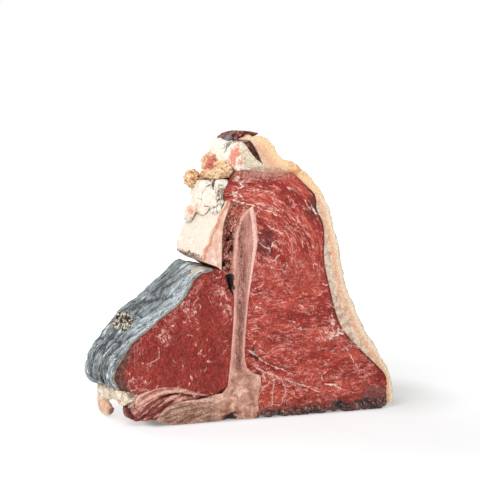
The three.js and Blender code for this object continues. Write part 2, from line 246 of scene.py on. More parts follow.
def distanceTo(points, line, closed=False, kept=None, block=3000):
    # from each point to the nearest place on a line of straight pieces, or on those of them that are kept
    starts = line if closed else line[:-1]
    edges = (np.roll(line, -1, 0) if closed else line[1:])[:len(starts)] - starts
    if kept is not None:
        starts, edges = starts[kept], edges[kept]
    length = np.maximum((edges ** 2).sum(1), 1e-12)
    found = np.empty(len(points))
    for first in range(0, len(points), block):
        gap = points[first:first + block, None] - starts[None]
        share = np.clip((gap * edges).sum(2) / length, 0, 1)
        found[first:first + block] = np.sqrt(((gap - share[..., None] * edges) ** 2).sum(2).min(1))
    return found


def isInside(points, outline, block=3000):
    # counts how often a ray to the right crosses the outline
    start, end = outline, np.roll(outline, -1, 0)
    rise = np.where(end[:, 1] == start[:, 1], 1e-12, end[:, 1] - start[:, 1])
    inside = np.empty(len(points), dtype=bool)
    for first in range(0, len(points), block):
        x, z = points[first:first + block, 0:1], points[first:first + block, 1:2]
        spans = (start[:, 1] > z) != (end[:, 1] > z)
        crossing = start[:, 0] + (z - start[:, 1]) / rise * (end[:, 0] - start[:, 0])
        inside[first:first + block] = (spans & (x < crossing)).sum(1) % 2 == 1
    return inside


def netInside(outline, spacing, seed):
    # a net of near-equal triangles that fills an outline: its inner points, and its triangles
    low, high = outline.min(0), outline.max(0)
    x, z = np.meshgrid(np.arange(low[0], high[0], spacing), np.arange(low[1], high[1], 0.866 * spacing))
    x[1::2] += spacing / 2
    inner = np.stack([x.ravel(), z.ravel()], axis=1)
    inner += np.random.default_rng(seed).uniform(-0.12, 0.12, inner.shape) * spacing
    inner = inner[isInside(inner, outline)]
    inner = inner[distanceTo(inner, outline, closed=True) > 0.6 * spacing]
    count = len(outline)
    border = [(i, (i + 1) % count) for i in range(count)]
    everything = np.concatenate([outline, inner])
    found = geometry.delaunay_2d_cdt([Vector(point) for point in everything], border, [], 1, 1e-7)
    if len(found[0]) != len(everything):
        raise ValueError("an outline crosses itself")
    triangles = np.array(found[2])
    turned = ~sideOf(*(everything[triangles[:, i]] for i in range(3)))
    triangles[turned] = triangles[turned][:, ::-1]
    return inner, triangles


# A tissue as a closed surface: two nets on the cut faces, and a wall between them whose rows follow the
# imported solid's rings. Rows bend over at both rims: inset = radius (1 - sin t), depth = radius (1 - cos t)

def spreadWithin(values, among, width, spacing):
    # averages values over their neighbours along the outline, but only those of the same kind
    reach = np.arange(-int(3 * width / spacing), int(3 * width / spacing) + 1)
    weights = hump(reach * spacing, 0, width)
    kind = among.astype(float)
    total = sum(w * np.roll(values * kind, r, axis=-1) for w, r in zip(weights, reach))
    share = sum(w * np.roll(kind, r) for w, r in zip(weights, reach))
    return np.where(among, total / np.maximum(share, 1e-9), values)


def longRuns(flags, shortest):
    # keeps only the unbroken stretches of a closed line that are long enough
    kept = np.all([np.roll(flags, step) for step in range(shortest)], axis=0)
    return np.any([np.roll(kept, -step) for step in range(shortest)], axis=0)


def mitredEnds(outline, outward, offsets, free, corners):
    # where a free side ends in a sharp corner, the corner moves along the seam's own line
    directions = outward.copy()
    offsets = offsets.copy()
    count = len(outline)
    for corner in corners:
        for way in (1, -1):
            side, seam = (corner + 3 * way) % count, (corner - 3 * way) % count
            if not free[side] or free[seam]:
                continue
            along = outline[corner] - outline[(corner - way) % count]
            along /= np.hypot(*along)
            facing = along @ outward[side]
            near = [(corner + way * step) % count for step in range(3)]
            offsets[:, near] = offsets[:, [side]]
            directions[near] = outward[side]
            if facing > 0.45:
                directions[corner] = along / facing
            for step in (1, 2):
                offsets[:, (corner - way * step) % count] = 0
    return directions, offsets


def tissueSurface(name, spacing=0.7, rows=24, seamRim=0.2, seamPush=0.15, straight=False, rimSteps=5,
                  leastRim=0.8, mostRim=7, landing=0.3):
    # each row of the wall is the front's outline, moved outwards by the rings' offsets at the row's depth.
    # Free sides have wide rims and seams have narrow ones, and low points land softly on the table
    shape = nodeShape(name)
    front, rear = shape[0][:, 1].min(), shape[0][:, 1].max()
    levels = np.unique(np.round(shape[0][:, 1], 2))
    near, middle = front + 0.01, 0.3
    outline, corners = smoothOutline(sectionOf(shape, middle if straight else near), spacing)
    outward = outwardOf(outline)
    count = len(outline)
    directions = outward
    free = np.zeros(count, dtype=bool)
    knots = np.array([front, (front + rear) / 2, rear])
    bulge = np.zeros((3, count))
    frontRim = rearRim = np.full(count, seamRim)
    if len(levels) == 10 and not straight:
        rings = [sectionOf(shape, np.clip(level, near, rear - 0.01)) for level in levels]
        offsets = np.array([reachTo(outline, outward, ring) for ring in rings])
        free = np.isfinite(offsets).all(0)
        offsets = np.where(free, offsets, 0)
        offsets = offsets - offsets[0]
        free = longRuns(offsets[4] > 0.2, 8)
        offsets = np.where(free, offsets, 0)
        directions, offsets = mitredEnds(outline, outward, offsets, free, corners)
        free = offsets[4] > 0.2
        offsets = spreadWithin(offsets, free, 1.6, spacing)
        early = offsets[2] - (offsets[3] - offsets[2]) * (levels[2] - front) / (levels[3] - levels[2])
        late = offsets[7] + (offsets[7] - offsets[6]) * (rear - levels[7]) / (levels[7] - levels[6])
        knots = np.concatenate([[front], levels[2:8], [rear]])
        bulge = np.concatenate([[early], offsets[2:8], [late]])
        frontRim = np.where(free, np.clip(early - offsets[0], leastRim, mostRim), seamRim)
        rearRim = np.where(free, np.clip(late - offsets[9], leastRim, mostRim), seamRim)
    bulge = bulge + np.where(free, 0, seamPush)
    turns = np.linspace(0, math.pi / 2, rimSteps + 1)[:, None]
    body = np.linspace(0, 1, rows + 2)[1:-1, None]
    depths = np.concatenate([
        front + frontRim * (1 - np.cos(turns)),
        front + frontRim + body * (rear - front - frontRim - rearRim),
        rear - rearRim * (1 - np.cos(turns[::-1])),
    ])
    inset = np.concatenate([
        frontRim * (1 - np.sin(turns)), np.zeros((rows, count)), rearRim * (1 - np.sin(turns[::-1])),
    ])
    wallShare = np.concatenate([np.sin(turns), np.ones((rows, 1)), np.sin(turns[::-1])])
    offsets = naturalCubic(knots, bulge, depths) - inset
    flat = outline[None] + directions[None] * offsets[..., None]
    height = flat[..., 1]
    flat[..., 1] = np.where(height < landing, landing * np.exp(height / landing - 1), height)
    flat[0], flat[-1] = untangled(flat[0]), untangled(flat[-1])
    wall = np.stack([flat[..., 0], depths, flat[..., 1]], axis=2)
    frontInner, frontFaces = netInside(flat[0], spacing, 1)
    rearInner, rearFaces = netInside(flat[-1], 1.5 * spacing, 2)
    layers = len(wall)
    grid = np.arange(layers * count).reshape(layers, count)
    nextAlong = np.roll(grid, -1, axis=1)
    quads = np.stack([grid[:-1], grid[1:], nextAlong[1:], nextAlong[:-1]], axis=2).reshape(-1, 4)
    frontMap = np.concatenate([grid[0], grid.size + np.arange(len(frontInner))])
    rearMap = np.concatenate([grid[-1], grid.size + len(frontInner) + np.arange(len(rearInner))])
    faces = quads.tolist() + frontMap[frontFaces].tolist() + rearMap[rearFaces][:, ::-1].tolist()
    points = np.concatenate([
        wall.reshape(-1, 3),
        np.insert(frontInner, 1, front, axis=1),
        np.insert(rearInner, 1, rear, axis=1),
    ])
    inner = len(frontInner) + len(rearInner)

    def spreadOut(onWall, onFront=0.0, onRear=0.0):
        # the same along each row or column of the wall, and one value or one for each point on the faces
        onFaces = [np.broadcast_to(onFront, len(frontInner)), np.broadcast_to(onRear, len(rearInner))]
        return np.concatenate([np.broadcast_to(onWall, (layers, count)).ravel(), *onFaces])

    def toFree(places, border):
        onSide = free & np.roll(free, -1)
        return distanceTo(places, border, closed=True, kept=onSide) if free.any() else np.full(len(places), farAway)

    toEdges = [distanceTo(inside, flat[row], closed=True) for inside, row in ((frontInner, 0), (rearInner, -1))]
    traits = {
        "along": spreadOut(placesAlong(outline)),
        "depth": points[:, 1] - front,
        "side": spreadOut(wallShare),
        "edge": spreadOut(0.0, *toEdges),
        "skin": spreadOut(np.where(free, 0, toFree(outline, flat[0])), toFree(frontInner, flat[0]),
                          toFree(rearInner, flat[-1])),
        "open": spreadOut(free.astype(float)),
    }
    print(f"steak: {name} outlined, {count} by {layers} on its wall and {inner} points on its faces")
    return points, faces, traits


def newObject(name, data):
    made = bpy.data.objects.new(name, data)
    bpy.context.scene.collection.objects.link(made)
    return made


def addPiece(name, node, points, faces, traits, relief, material, lowest=-0.2):
    # makes the mesh, moves its points outwards by the relief but not far under the table, and stores the
    # traits on them
    mesh = bpy.data.meshes.new(name)
    mesh.from_pydata((points * mm).tolist(), [], faces)
    outwards = np.empty(len(mesh.vertices) * 3)
    mesh.vertex_normals.foreach_get("vector", outwards)
    places = points + relief[:, None] * outwards.reshape(-1, 3)
    places[:, 2] = np.maximum(places[:, 2], lowest)
    mesh.vertices.foreach_set("co", (places * mm).ravel())
    for label, values in traits.items():
        mesh.attributes.new(label, "FLOAT", "POINT").data.foreach_set("value", values.astype(np.float32))
    mesh.shade_smooth()
    mesh.update()
    mesh.materials.append(material)
    piece = newObject(name, mesh)
    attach(piece, "root")
    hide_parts(node)
    print(f"steak: {name} done")


# A lump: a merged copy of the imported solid, made even by a voxel remesh and smoothed

def lumpSurface(name, voxel=0.55, smoothing=6):
    points, triangles = nodeShape(name)
    mesh = bpy.data.meshes.new(name + "_copy")
    mesh.from_pydata((points * mm).tolist(), [], triangles.tolist())
    lump = newObject(name + "_copy", mesh)
    remesh = lump.modifiers.new("even", "REMESH")
    remesh.mode = "VOXEL"
    remesh.voxel_size = voxel * mm
    smooth = lump.modifiers.new("soft", "SMOOTH")
    smooth.factor = 0.5
    smooth.iterations = smoothing
    even = bpy.data.meshes.new_from_object(lump.evaluated_get(bpy.context.evaluated_depsgraph_get()))
    places, triangles = arraysOf(even)
    bpy.data.objects.remove(lump)
    print(f"steak: {name} remeshed, {len(triangles)} triangles")
    return places, triangles.tolist()


# Shader nodes. Distances in a material are millimetres too

canvas = {}  # its "tree" is the node tree that new nodes go to


class Flow:
    # what comes out of a node: sums, differences and products of it are made by Math nodes
    def __init__(self, socket):
        self.socket = socket

    def __add__(self, other):
        return maths("ADD", self, other)

    def __sub__(self, other):
        return maths("SUBTRACT", self, other)

    def __rsub__(self, other):
        return maths("SUBTRACT", other, self)

    def __mul__(self, other):
        return maths("MULTIPLY", self, other)

    __radd__ = __add__


def paint(red, green, blue):
    # a colour given as it looks on screen, from 0 to 255
    level = np.array([red, green, blue]) / 255
    linear = np.where(level <= 0.04045, level / 12.92, ((level + 0.055) / 1.055) ** 2.4)
    return (*linear.tolist(), 1.0)


def plug(socket, value):
    # links a flow, or sets a number, a vector or a colour
    if isinstance(value, Flow):
        canvas["tree"].links.new(value.socket, socket)
    else:
        socket.default_value = paint(*value) if socket.type == "RGBA" else value


def addNode(kind, inputs, output=0, **options):
    node = canvas["tree"].nodes.new("ShaderNode" + kind)
    for option, value in options.items():
        setattr(node, option, value)
    for name, value in inputs.items():
        plug(node.inputs[name], value)
    return Flow(node.outputs[output])


def maths(operation, *values):
    return addNode("Math", dict(enumerate(values)), operation=operation)


def vectors(operation, *values):
    return addNode("VectorMath", dict(enumerate(values)), operation=operation)


def lengthOf(vector):
    return addNode("VectorMath", {0: vector}, "Value", operation="LENGTH")


def between(value, low, high, fromLow=0.0, toHigh=1.0):
    # rises smoothly from one number to another while the value goes from low to high
    inputs = {"Value": value, "From Min": low, "From Max": high, "To Min": fromLow, "To Max": toHigh}
    return addNode("MapRange", inputs, interpolation_type="SMOOTHSTEP")


def blend(share, under, over, how="MIX"):
    return addNode("Mix", {0: share, 6: under, 7: over}, 2, data_type="RGBA", blend_type=how)


def coats(colour, *layers):
    # colours laid over one another, each with its share
    for share, tone in layers:
        colour = blend(share, colour, tone)
    return colour


def grey(shade):
    return addNode("CombineColor", {0: shade, 1: shade, 2: shade})


def shaded(colour, shade):
    return blend(1.0, colour, grey(shade), "MULTIPLY")


def trait(name):
    return addNode("Attribute", {}, "Fac", attribute_name=name)


def placeOf():
    # object coordinates in millimetres
    return addNode("VectorMath", {0: addNode("TexCoord", {}, "Object"), 3: 1 / mm}, operation="SCALE")


def axesOf(place):
    return [Flow(axis) for axis in addNode("SeparateXYZ", {0: place}).socket.node.outputs]


def joined(x, y, z):
    return addNode("CombineXYZ", {0: x, 1: y, 2: z})


def stretched(place, sizes):
    return vectors("DIVIDE", place, (sizes,) * 3 if isinstance(sizes, float) else sizes)


def wave(place, sizes, detail=2.0, rough=0.5, twist=0.0):
    # random waves of one size, or of three sizes along x, y and z, from 0 to 1
    inputs = {"Vector": stretched(place, sizes), "Scale": 1.0, "Detail": detail, "Roughness": rough,
              "Distortion": twist}
    return addNode("TexNoise", inputs, "Fac")


def newGroup(name, inputs):
    # a group with the named inputs and one mask as its output
    group = canvas["tree"] = bpy.data.node_groups.new(name, "ShaderNodeTree")
    for label, value in inputs.items():
        kind = "NodeSocketVector" if isinstance(value, tuple) else "NodeSocketFloat"
        group.interface.new_socket(label, in_out="INPUT", socket_type=kind).default_value = value
    group.interface.new_socket("Mask", in_out="OUTPUT", socket_type="NodeSocketFloat")
    given = group.nodes.new("NodeGroupInput").outputs
    return group, *(Flow(given[label]) for label in inputs)


def finishGroup(group, mask):
    plug(group.nodes.new("NodeGroupOutput").inputs["Mask"], mask)
    return group


def useGroup(group, *values):
    return addNode("Group", dict(enumerate(values)), node_tree=group)


def makeMarblingGroup():
    # thin broken veins: where a stretched random wave crosses its middle, and a second one allows it
    group, place, sizes, width, cover = newGroup(
        "marbling", {"Place": (0.0, 0.0, 0.0), "Sizes": (8.0, 8.0, 3.0), "Width": 0.03, "Cover": 0.5})
    line = 1 - between(maths("ABSOLUTE", wave(place, sizes, 3.0, 0.55, 0.5) - 0.5), 0.0, width)
    second = {"Vector": stretched(place, sizes), "Scale": 0.83, "Detail": 1.0, "W": 4.0}
    border = 0.8 - cover * 0.6
    kept = between(addNode("TexNoise", second, "Fac", noise_dimensions="4D"), border, border + 0.08)
    return finishGroup(group, line * kept)


def makeDryRimGroup():
    # one near a line and nought beyond a width that wanders
    group, place, distance, width, ragged = newGroup(
        "dryRim", {"Place": (0.0, 0.0, 0.0), "Distance": 0.0, "Width": 1.5, "Ragged": 1.0})
    moved = (wave(place, 2.5, 3.0) - 0.5) * ragged + distance
    return finishGroup(group, 1 - between(moved, width * 0.35, width))


marbling = makeMarblingGroup()
dryRim = makeDryRimGroup()


def newMaterial(name):
    material = bpy.data.materials.new(name)
    material.use_nodes = True
    canvas["tree"] = material.node_tree
    canvas["tree"].nodes.clear()
    return material


def useShader(inputs):
    plug(canvas["tree"].nodes.new("ShaderNodeOutputMaterial").inputs["Surface"], addNode("BsdfPrincipled", inputs))


def finishMaterial(colour, roughness, height, bump, glow, tooth, specular=0.26, coat=0.0, grit=1.2, toothSize=1.1):
    # height is in millimetres; glow is the share of light that spreads under the surface; tooth and grit
    # are how strongly a fine grain darkens, lightens and roughens everything
    fine = wave(placeOf(), toothSize, 2.0, 0.6)
    useShader({
        "Base Color": shaded(colour, between(fine, 0.36, 0.64, 1 - tooth, 1 + tooth)),
        "Roughness": roughness,
        "Normal": addNode("Bump", {"Height": fine * grit + height, "Strength": 1.0, "Distance": bump * mm}, "Normal"),
        "Specular IOR Level": specular,
        "Coat Weight": coat,
        "Coat Roughness": 0.3,
        "Subsurface Weight": glow,
        "Subsurface Radius": (1.0, 0.35, 0.2),
        "Subsurface Scale": 2.5 * mm,
    })


# Traits that a material reads from the points, and strokes and spots that several pieces share

def faceHeight(points, traits, fall, fallWidth, swell, swellSize, seed):
    # how far a cut face stands proud: it swells unevenly and falls away at its rim
    onFace = 1 - traits["side"]
    return onFace * (swell * layeredWave(points, swellSize, seed) - fall * np.exp(-traits["skin"] / fallWidth))


def strokeTraits(points, traits, name, strokes):
    # a stroke is a line, half a width and a strength. Each point gets its distance to the nearest stroke's
    # middle, which changes sign there so that thin strokes stay sharp, and that stroke's width and strength.
    # Points well behind the cut face get none
    shown = points[:, 1] < cutFace + 10
    flat = points[shown][:, [0, 2]]
    across, wide, strong = np.full(len(flat), farAway), np.zeros(len(flat)), np.zeros(len(flat))
    for line, half, strength in strokes:
        for start, end in zip(np.array(line)[:-1], np.array(line)[1:]):
            step, off = end - start, flat - start
            share = np.clip(off @ step / (step @ step), 0, 1)
            away = np.hypot(*(off - share[:, None] * step).T)
            sign = np.where(step[0] * off[:, 1] < step[1] * off[:, 0], -1, 1)
            closer = away - half < np.abs(across) - wide
            across = np.where(closer, sign * away, across)
            wide, strong = np.where(closer, half, wide), np.where(closer, strength, strong)
    near = np.abs(across) < wide + 1.2

    def spreadOut(values, rest=0.0):
        spread = np.full(len(points), rest)
        spread[shown] = values
        return spread

    traits[name + "Across"] = spreadOut(across, farAway)
    traits[name + "Wide"], traits[name + "Strong"] = spreadOut(wide * near), spreadOut(strong * near)
    return spreadOut(np.abs(across) - wide, farAway)


def wavering(strokes, seed, step=1.8, amount=0.3):
    # long straight strokes get uneven bends, widths and strengths: short lengths whose ends are moved a little
    dice = np.random.default_rng(seed)
    pieces = []
    for line, half, strength in strokes:
        line = np.array(line)
        places = placesAlong(line)
        samples = np.linspace(0, places[-1], max(2, round(places[-1] / step) + 1))
        bent = np.stack([np.interp(samples, places, line[:, axis]) for axis in (0, 1)], axis=1)
        bent += dice.normal(0, amount, bent.shape)
        for start, end in zip(bent[:-1], bent[1:]):
            pieces.append((np.stack([start, end]), half * dice.uniform(0.5, 1.5), strength * dice.uniform(0.7, 1.0)))
    return pieces


def randomCurls(seed, count, box, slope, length, half, strength, favour, least=0.3, turned=0.45, bent=0.35):
    # short curved strokes at random places in a box (low x and z, high x and z), turned roughly the way that
    # slope gives for a place, and kept mostly near the favoured spots
    dice = np.random.default_rng(seed)
    middle = dice.uniform(box[:2], box[2:], (count, 2))
    turn = (slope(middle) if callable(slope) else slope) + dice.normal(0, turned, count)
    reach, bend = dice.uniform(*length, count) / 2, dice.normal(0, bent, count)
    steps = np.linspace(-1, 1, 4)[None]
    forward, sideways = reach[:, None] * steps, (reach * bend)[:, None] * steps ** 2
    x = middle[:, :1] + forward * np.cos(turn)[:, None] - sideways * np.sin(turn)[:, None]
    z = middle[:, 1:] + forward * np.sin(turn)[:, None] + sideways * np.cos(turn)[:, None]
    spots = np.stack([middle[:, 0], np.zeros(count), middle[:, 1]], axis=1)
    kept = dice.uniform(0, 1, count) < favoured(spots, favour) + least
    sizes = np.stack([dice.uniform(*half, count), dice.uniform(*strength, count)], axis=1)
    return [(line, *size) for line, size in zip(np.stack([x, z], axis=2)[kept], sizes[kept])]


def roundSpot(points, spot):
    # a soft ball: its middle and its radius
    return np.exp(-((points - np.array(spot[:3])) ** 2).sum(1) / spot[3] ** 2)


def softSpot(points, spot):
    # a soft patch right through the thickness: its middle's x and z, half its width and half its height
    x, z, wide, tall = spot
    return np.exp(-((points[:, 0] - x) / wide) ** 2 - ((points[:, 2] - z) / tall) ** 2)


def favoured(points, spots):
    return np.max([softSpot(points, spot) for spot in spots], axis=0)


# the seam between tenderloin and bone gets a painted shadow in this spot
boneGapShadeSpot = (-17.0, 95.0, 4.0, 9.0)  # the seam's part where tenderloin and bone lean apart


# painted shadow in the seam by the bone: near one at the face's edge, within the spot
def boneGapShade(points, traits, width):
    return softSpot(points, boneGapShadeSpot) * (1 - easeBetween(0.3, width, traits["edge"]))


def cutMeat(place, look, busy=1.0):
    # red meat as it looks on a cut face: a deep and a bright tone, short fibres, dark gaps between them, and
    # pale veins and grains
    colour = blend(between(wave(place, look["toneSize"], 4.0, 0.6), 0.36, 0.64), look["deep"], look["bright"])
    fibre = wave(place, look["fibreSize"], 4.0, 0.75, 0.3)
    colour = shaded(colour, between(fibre, 0.34, 0.66, 1 - look["fibre"], 1 + look["fibre"]))
    gap = between(wave(place, look["gapSize"], 3.0, 0.7, 0.4), 0.56, 0.68)
    pale = between(wave(place, look["grainSize"], 3.0, 0.7, 0.5), 0.57, 0.7) * look["grainShare"]
    for *vein, share in look["veins"]:
        pale = maths("MAXIMUM", pale, useGroup(marbling, place, *vein) * share)
    return coats(colour, (gap * look["gapShare"], look["gapColour"]), (pale * busy, look["paleColour"])), fibre


def strokesOver(place, colour, name, tone, soft=0.45, broken=(-0.2, 0.35)):
    # named sinews and flecks, broken up unevenly
    uneven = between(wave(place, 2.4, 4.0, 0.6), 0.35, 0.65, *broken)
    away = maths("ABSOLUTE", trait(name + "Across")) - trait(name + "Wide") + uneven
    return blend((1 - between(away, 0.0, soft)) * trait(name + "Strong"), colour, tone)


def raggedShare(place, name, strength, size=3.5, ragged=0.8):
    # a spot's share with a ragged border
    level = between(wave(place, size, 5.0, 0.7), 0.34, 0.66) * ragged + trait(name)
    share = between(level, 0.5 * ragged + 0.18, 0.5 * ragged + 0.72, 0.0, strength)
    return share * between(trait(name), 0.06, 0.3)


def spotsOver(place, colour, look, *spots):
    # a spot has a name in the look and among the traits, a strength, and maybe its border's size and raggedness
    for name, *strength in spots:
        colour = blend(raggedShare(place, name, *strength), colour, look[name])
    return colour


# The tenderloin: fine upright fibres, a dried brown rim, and a leathery grey rind with one wart

tenderloinLook = {
    "deep": (136, 36, 28), "bright": (152, 50, 40), "toneSize": (16, 9, 20),
    "fibreSize": (1.3, 3.0, 2.0), "fibre": 0.4,
    "gapSize": (1.7, 3.0, 2.2), "gapShare": 0.3, "gapColour": (96, 18, 14),
    "grainSize": (1.2, 3.0, 1.5), "grainShare": 0.8, "paleColour": (238, 168, 156), "fleck": (240, 184, 170),
    "veins": [((4.0, 6.0, 4.4), 0.05, 0.5, 0.8), ((2.2, 4.0, 2.8), 0.08, 0.5, 0.7)],
    "rim": (72, 44, 32), "rimGrey": (108, 80, 68), "rimEdge": (206, 194, 176), "rimTop": (104, 34, 26),
    "rindDeep": (76, 82, 85), "rindMiddle": (145, 153, 156), "rindPale": (206, 217, 222),
    "rindBrown": (112, 88, 68), "rindCrack": (30, 27, 26), "rindPaintedHighlight": (236, 243, 247),
    "streak": 0.28, "streakFoot": 0.36,
    # gap: a painted shadow in the seam by the bone
    "creamTop": (214, 204, 182), "darkTop": (30, 27, 26), "gap": (28, 10, 8),
    "wart": (176, 164, 146), "wartPale": (232, 224, 208), "wartCreviceShade": (50, 38, 28),
}
tenderloinShape = {
    # the cut face's fall at its rim and the fall's width, its swelling and the swelling's size, and a seed
    "face": (0.45, 0.8, 0.5, 16, 3), "fibre": 0.12,
    # the solid's own wart is taken back and a knobblier one stands a little lower
    "solidWart": (-82.5, 12.5, 73.0, 6.0), "solidHeight": 3.2,
    "wart": (-84.5, 9.0, 68.0, 7.2), "wartEnd": (-83.0, -3.0, 66.5, 5.6),
    "wartHeight": 2.2, "knobHeight": 2.4, "knobSize": 2.1,
    "wrinkle": 1.0, "footWrinkle": 0.5, "crease": 1.3, "fold": 0.5,
    # a notch under the wart, a fuller heel and a lower top end
    "notch": 2.8, "notchPlace": 70.0, "heel": (-101.0, 18.0, 31.0, 9.0), "heelHeight": 3.0,
    "top": (-44.0, 18.0, 106.0, 9.0), "topHeight": -1.8,
    "creamTop": (-38.0, -16.0, 104.5, 7.0), "darkTop": (-52.0, 0.0, 106.5, 3.0),
    # where flecks are thick: x, z, half width, half height
    "busy": [(-24.0, 90.0, 7.0, 8.0), (-19.5, 80.0, 4.0, 12.0), (-64.8, 61.5, 5.0, 7.0), (-84.6, 28.5, 7.0, 5.0),
             (-47.0, 79.0, 5.0, 9.0)],
    "pale": [
        ([(-68.3, 53.3), (-68.4, 46.0), (-78.2, 42.0)], 0.12, 0.9),
        ([(-66.5, 66.0), (-64.6, 62.0), (-63.0, 58.0)], 0.2, 0.7),
        ([(-45.6, 32.3), (-45.0, 30.7)], 0.45, 1.0), ([(-21.0, 88.0), (-19.4, 83.5)], 0.25, 0.8),
        ([(-18.8, 79.5), (-17.4, 76.5)], 0.25, 0.8), ([(-23.0, 47.0), (-19.5, 50.5)], 0.05, 0.8),
        ([(-33.0, 86.0), (-31.5, 83.0)], 0.15, 0.8),
    ],
}


def rindRelief(points, traits):
    form = tenderloinShape
    depth, height = traits["depth"], points[:, 2]
    # wrinkles run along the rim, slanting towards the rear
    traits["rindAlong"], traits["rindAcross"] = traits["along"] + 0.9 * depth, depth - 0.2 * traits["along"]
    folds = np.stack([traits["rindAlong"] / 17, traits["rindAcross"] / 4.2, np.zeros(len(points))], axis=1)
    folds += 0.35 * wander(points, 9.0, (4, 6, 8), 2)
    wrinkles = layeredWave(folds, 1.0, 7, rough=0.6)
    crease = -np.exp(-(layeredWave(folds * 0.7 + 3.3, 1.0, 9, layers=2) / 0.07) ** 2)
    small = form["fold"] * layeredWave(folds * 3.0, 1.0, 10, layers=2)
    traits["wrinkle"] = wrinkles + crease
    quiet = easeBetween(0, 5, depth) * (1 + form["footWrinkle"] * (1 - easeBetween(40, 75, height)))
    relief = quiet * (form["wrinkle"] * wrinkles + form["crease"] * crease + small)
    wart = np.maximum(roundSpot(points, form["wart"]), 0.9 * roundSpot(points, form["wartEnd"]))
    traits["wart"] = wart = traits["side"] * traits["open"] * wart
    onWart = wart > 0.02
    knobbly = points[onWart] + 0.7 * wander(points[onWart], 2.0, (12, 13, 16))
    near, second = scattered(knobbly, form["knobSize"], 12)
    traits["knob"] = np.ones(len(points))
    traits["knob"][onWart] = easeBetween(0.1, 0.8, second - near)
    relief += wart * (form["wartHeight"] + form["knobHeight"] * traits["knob"])
    relief -= form["solidHeight"] * roundSpot(points, form["solidWart"])
    relief -= form["notch"] * hump(height + 0.12 * points[:, 1], form["notchPlace"], 3.4) * easeBetween(18, 30, depth)
    for spot in ("heel", "top"):
        relief += form[spot + "Height"] * roundSpot(points, form[spot])
    return traits["side"] * traits["open"] * relief


def tenderloinMaterial():
    look = tenderloinLook
    material = newMaterial("tenderloin_and_rind")
    place = placeOf()
    height = axesOf(place)[2]
    skin, front = trait("skin"), trait("front")
    busy = maths("MAXIMUM", trait("busy"), (1 - between(skin, 2.0, 14.0)) * 0.6) * 0.8 + 0.12
    colour, fibre = cutMeat(place, look, busy)
    colour = strokesOver(place, colour, "pale", look["fleck"])
    # the dried rim is thin above and wide at the foot
    width = (1 - between(height, 30.0, 66.0)) * 8.6 + between(height, 84.0, 98.0, 1.7, 3.6)
    rim = blend(between(wave(place, 3.0), 0.35, 0.65), look["rim"], look["rimGrey"])
    rim = blend(between(height, 88.0, 96.0, 0.0, 0.75), rim, look["rimTop"])
    colour = coats(colour, (useGroup(dryRim, place, skin, width, 1.4) * 0.92, rim),
                   ((1 - between(skin, 0.1, 0.8)) * 0.6, look["rimEdge"]))
    # the rind: mottled, stained, darker in broad patches and paler near the front, with cracks and with painted
    # highlights as pale glints
    folds = joined(trait("rindAlong"), trait("rindAcross"), 0.0)
    mottle = wave(folds, (14.0, 3.0, 9.0), 6.0, 0.66, 0.6)
    level = trait("wrinkle") * 0.42 + mottle
    stain = between(wave(place, (12.0, 6.0, 12.0), 5.0, 0.7), 0.54, 0.64)
    rind = coats(
        look["rindDeep"],
        (between(level, 0.26, 0.47), look["rindMiddle"]),
        (between(level, 0.55, 0.7), look["rindPale"]),
        (stain * 0.45, look["rindBrown"]),
        (between(wave(folds, (24.0, 8.0, 9.0), 3.0), 0.38, 0.52, 0.5, 0.0), look["rindDeep"]),
        (front * between(mottle, 0.42, 0.58, 0.1, 0.75), look["rindPale"]),
        (useGroup(marbling, folds, (11.0, 4.2, 9.0), 0.03, 0.55) * 0.85, look["rindCrack"]),
        (useGroup(marbling, folds, (5.0, 2.6, 9.0), 0.045, 0.55) * 0.6, look["rindCrack"]),
        # painted highlights: pale glints along the wrinkles, most near the front
        (useGroup(marbling, folds, (7.2, 2.38, 9.0), 0.045, 0.5) * (front * 0.65 + 0.25), look["rindPaintedHighlight"]),
    )
    strong = between(height, 40.0, 75.0, look["streak"] + look["streakFoot"], look["streak"])
    streak = wave(folds, (7.0, 0.9, 9.0), 4.0, 0.7, 1.1)
    rind = shaded(rind, between(streak, 0.37, 0.63, 1 - strong, 1 + strong))
    rind = spotsOver(place, rind, look, ("creamTop", 0.8), ("darkTop", 0.8))
    crumbs = wave(place, 1.6, 3.0, 0.7)
    wart = blend(between(crumbs, 0.4, 0.62), look["wart"], look["wartPale"])
    # painted shade: the wart is darkest between its knobs, where its relief lies low
    wart = blend(between(crumbs * 0.8 + trait("knob"), 0.6, 1.2), look["wartCreviceShade"], wart)
    rind = blend(between(crumbs * 0.5 + trait("wart"), 0.42, 0.62), rind, wart)
    rindShare = between(trait("side"), 0.25, 0.8) * trait("open")
    # the gap spot is a painted shadow in the seam by the bone
    colour = spotsOver(place, blend(rindShare, colour, rind), look, ("gap", 0.95))
    rough = rindShare * 0.1 + between(fibre, 0.2, 0.8, 0.34, 0.52)
    finishMaterial(colour, rough, mottle * rindShare * 4.0 + fibre * 0.5, bump=0.5, glow=0.08,
                   tooth=rindShare * -0.16 + 0.29, toothSize=(0.9, 1.1, 1.6))
    return material


def makeTenderloin():
    form = tenderloinShape
    points, faces, traits = tissueSurface("tenderloin", rows=60)
    flecks = randomCurls(17, 640, (-100.0, 16.0, -16.0, 104.0), 1.2, (0.4, 1.7), (0.05, 0.34), (0.3, 1.0),
                         form["busy"], least=0.14, turned=1.2)
    strokeTraits(points, traits, "pale", wavering(form["pale"], 18, amount=0.15) + flecks)
    traits["gap"] = boneGapShade(points, traits, 1.4)
    traits["busy"] = favoured(points, form["busy"])
    traits["front"] = hump(traits["depth"], 5.0, 6.0)
    for spot in ("creamTop", "darkTop"):
        traits[spot] = roundSpot(points, form[spot])
    relief = faceHeight(points, traits, *form["face"]) + rindRelief(points, traits)
    relief += form["fibre"] * layeredWave(points, (0.9, 3.0, 4.0), 5, layers=2) * (1 - traits["side"])
    addPiece("tenderloin_muscle", "tenderloin", points, faces, traits, relief, tenderloinMaterial())


# The strip loin: marbling in arcs round the bone's tip above and in level waves below, and a dark
# beaded crust along the foot, which the chain muscle shares

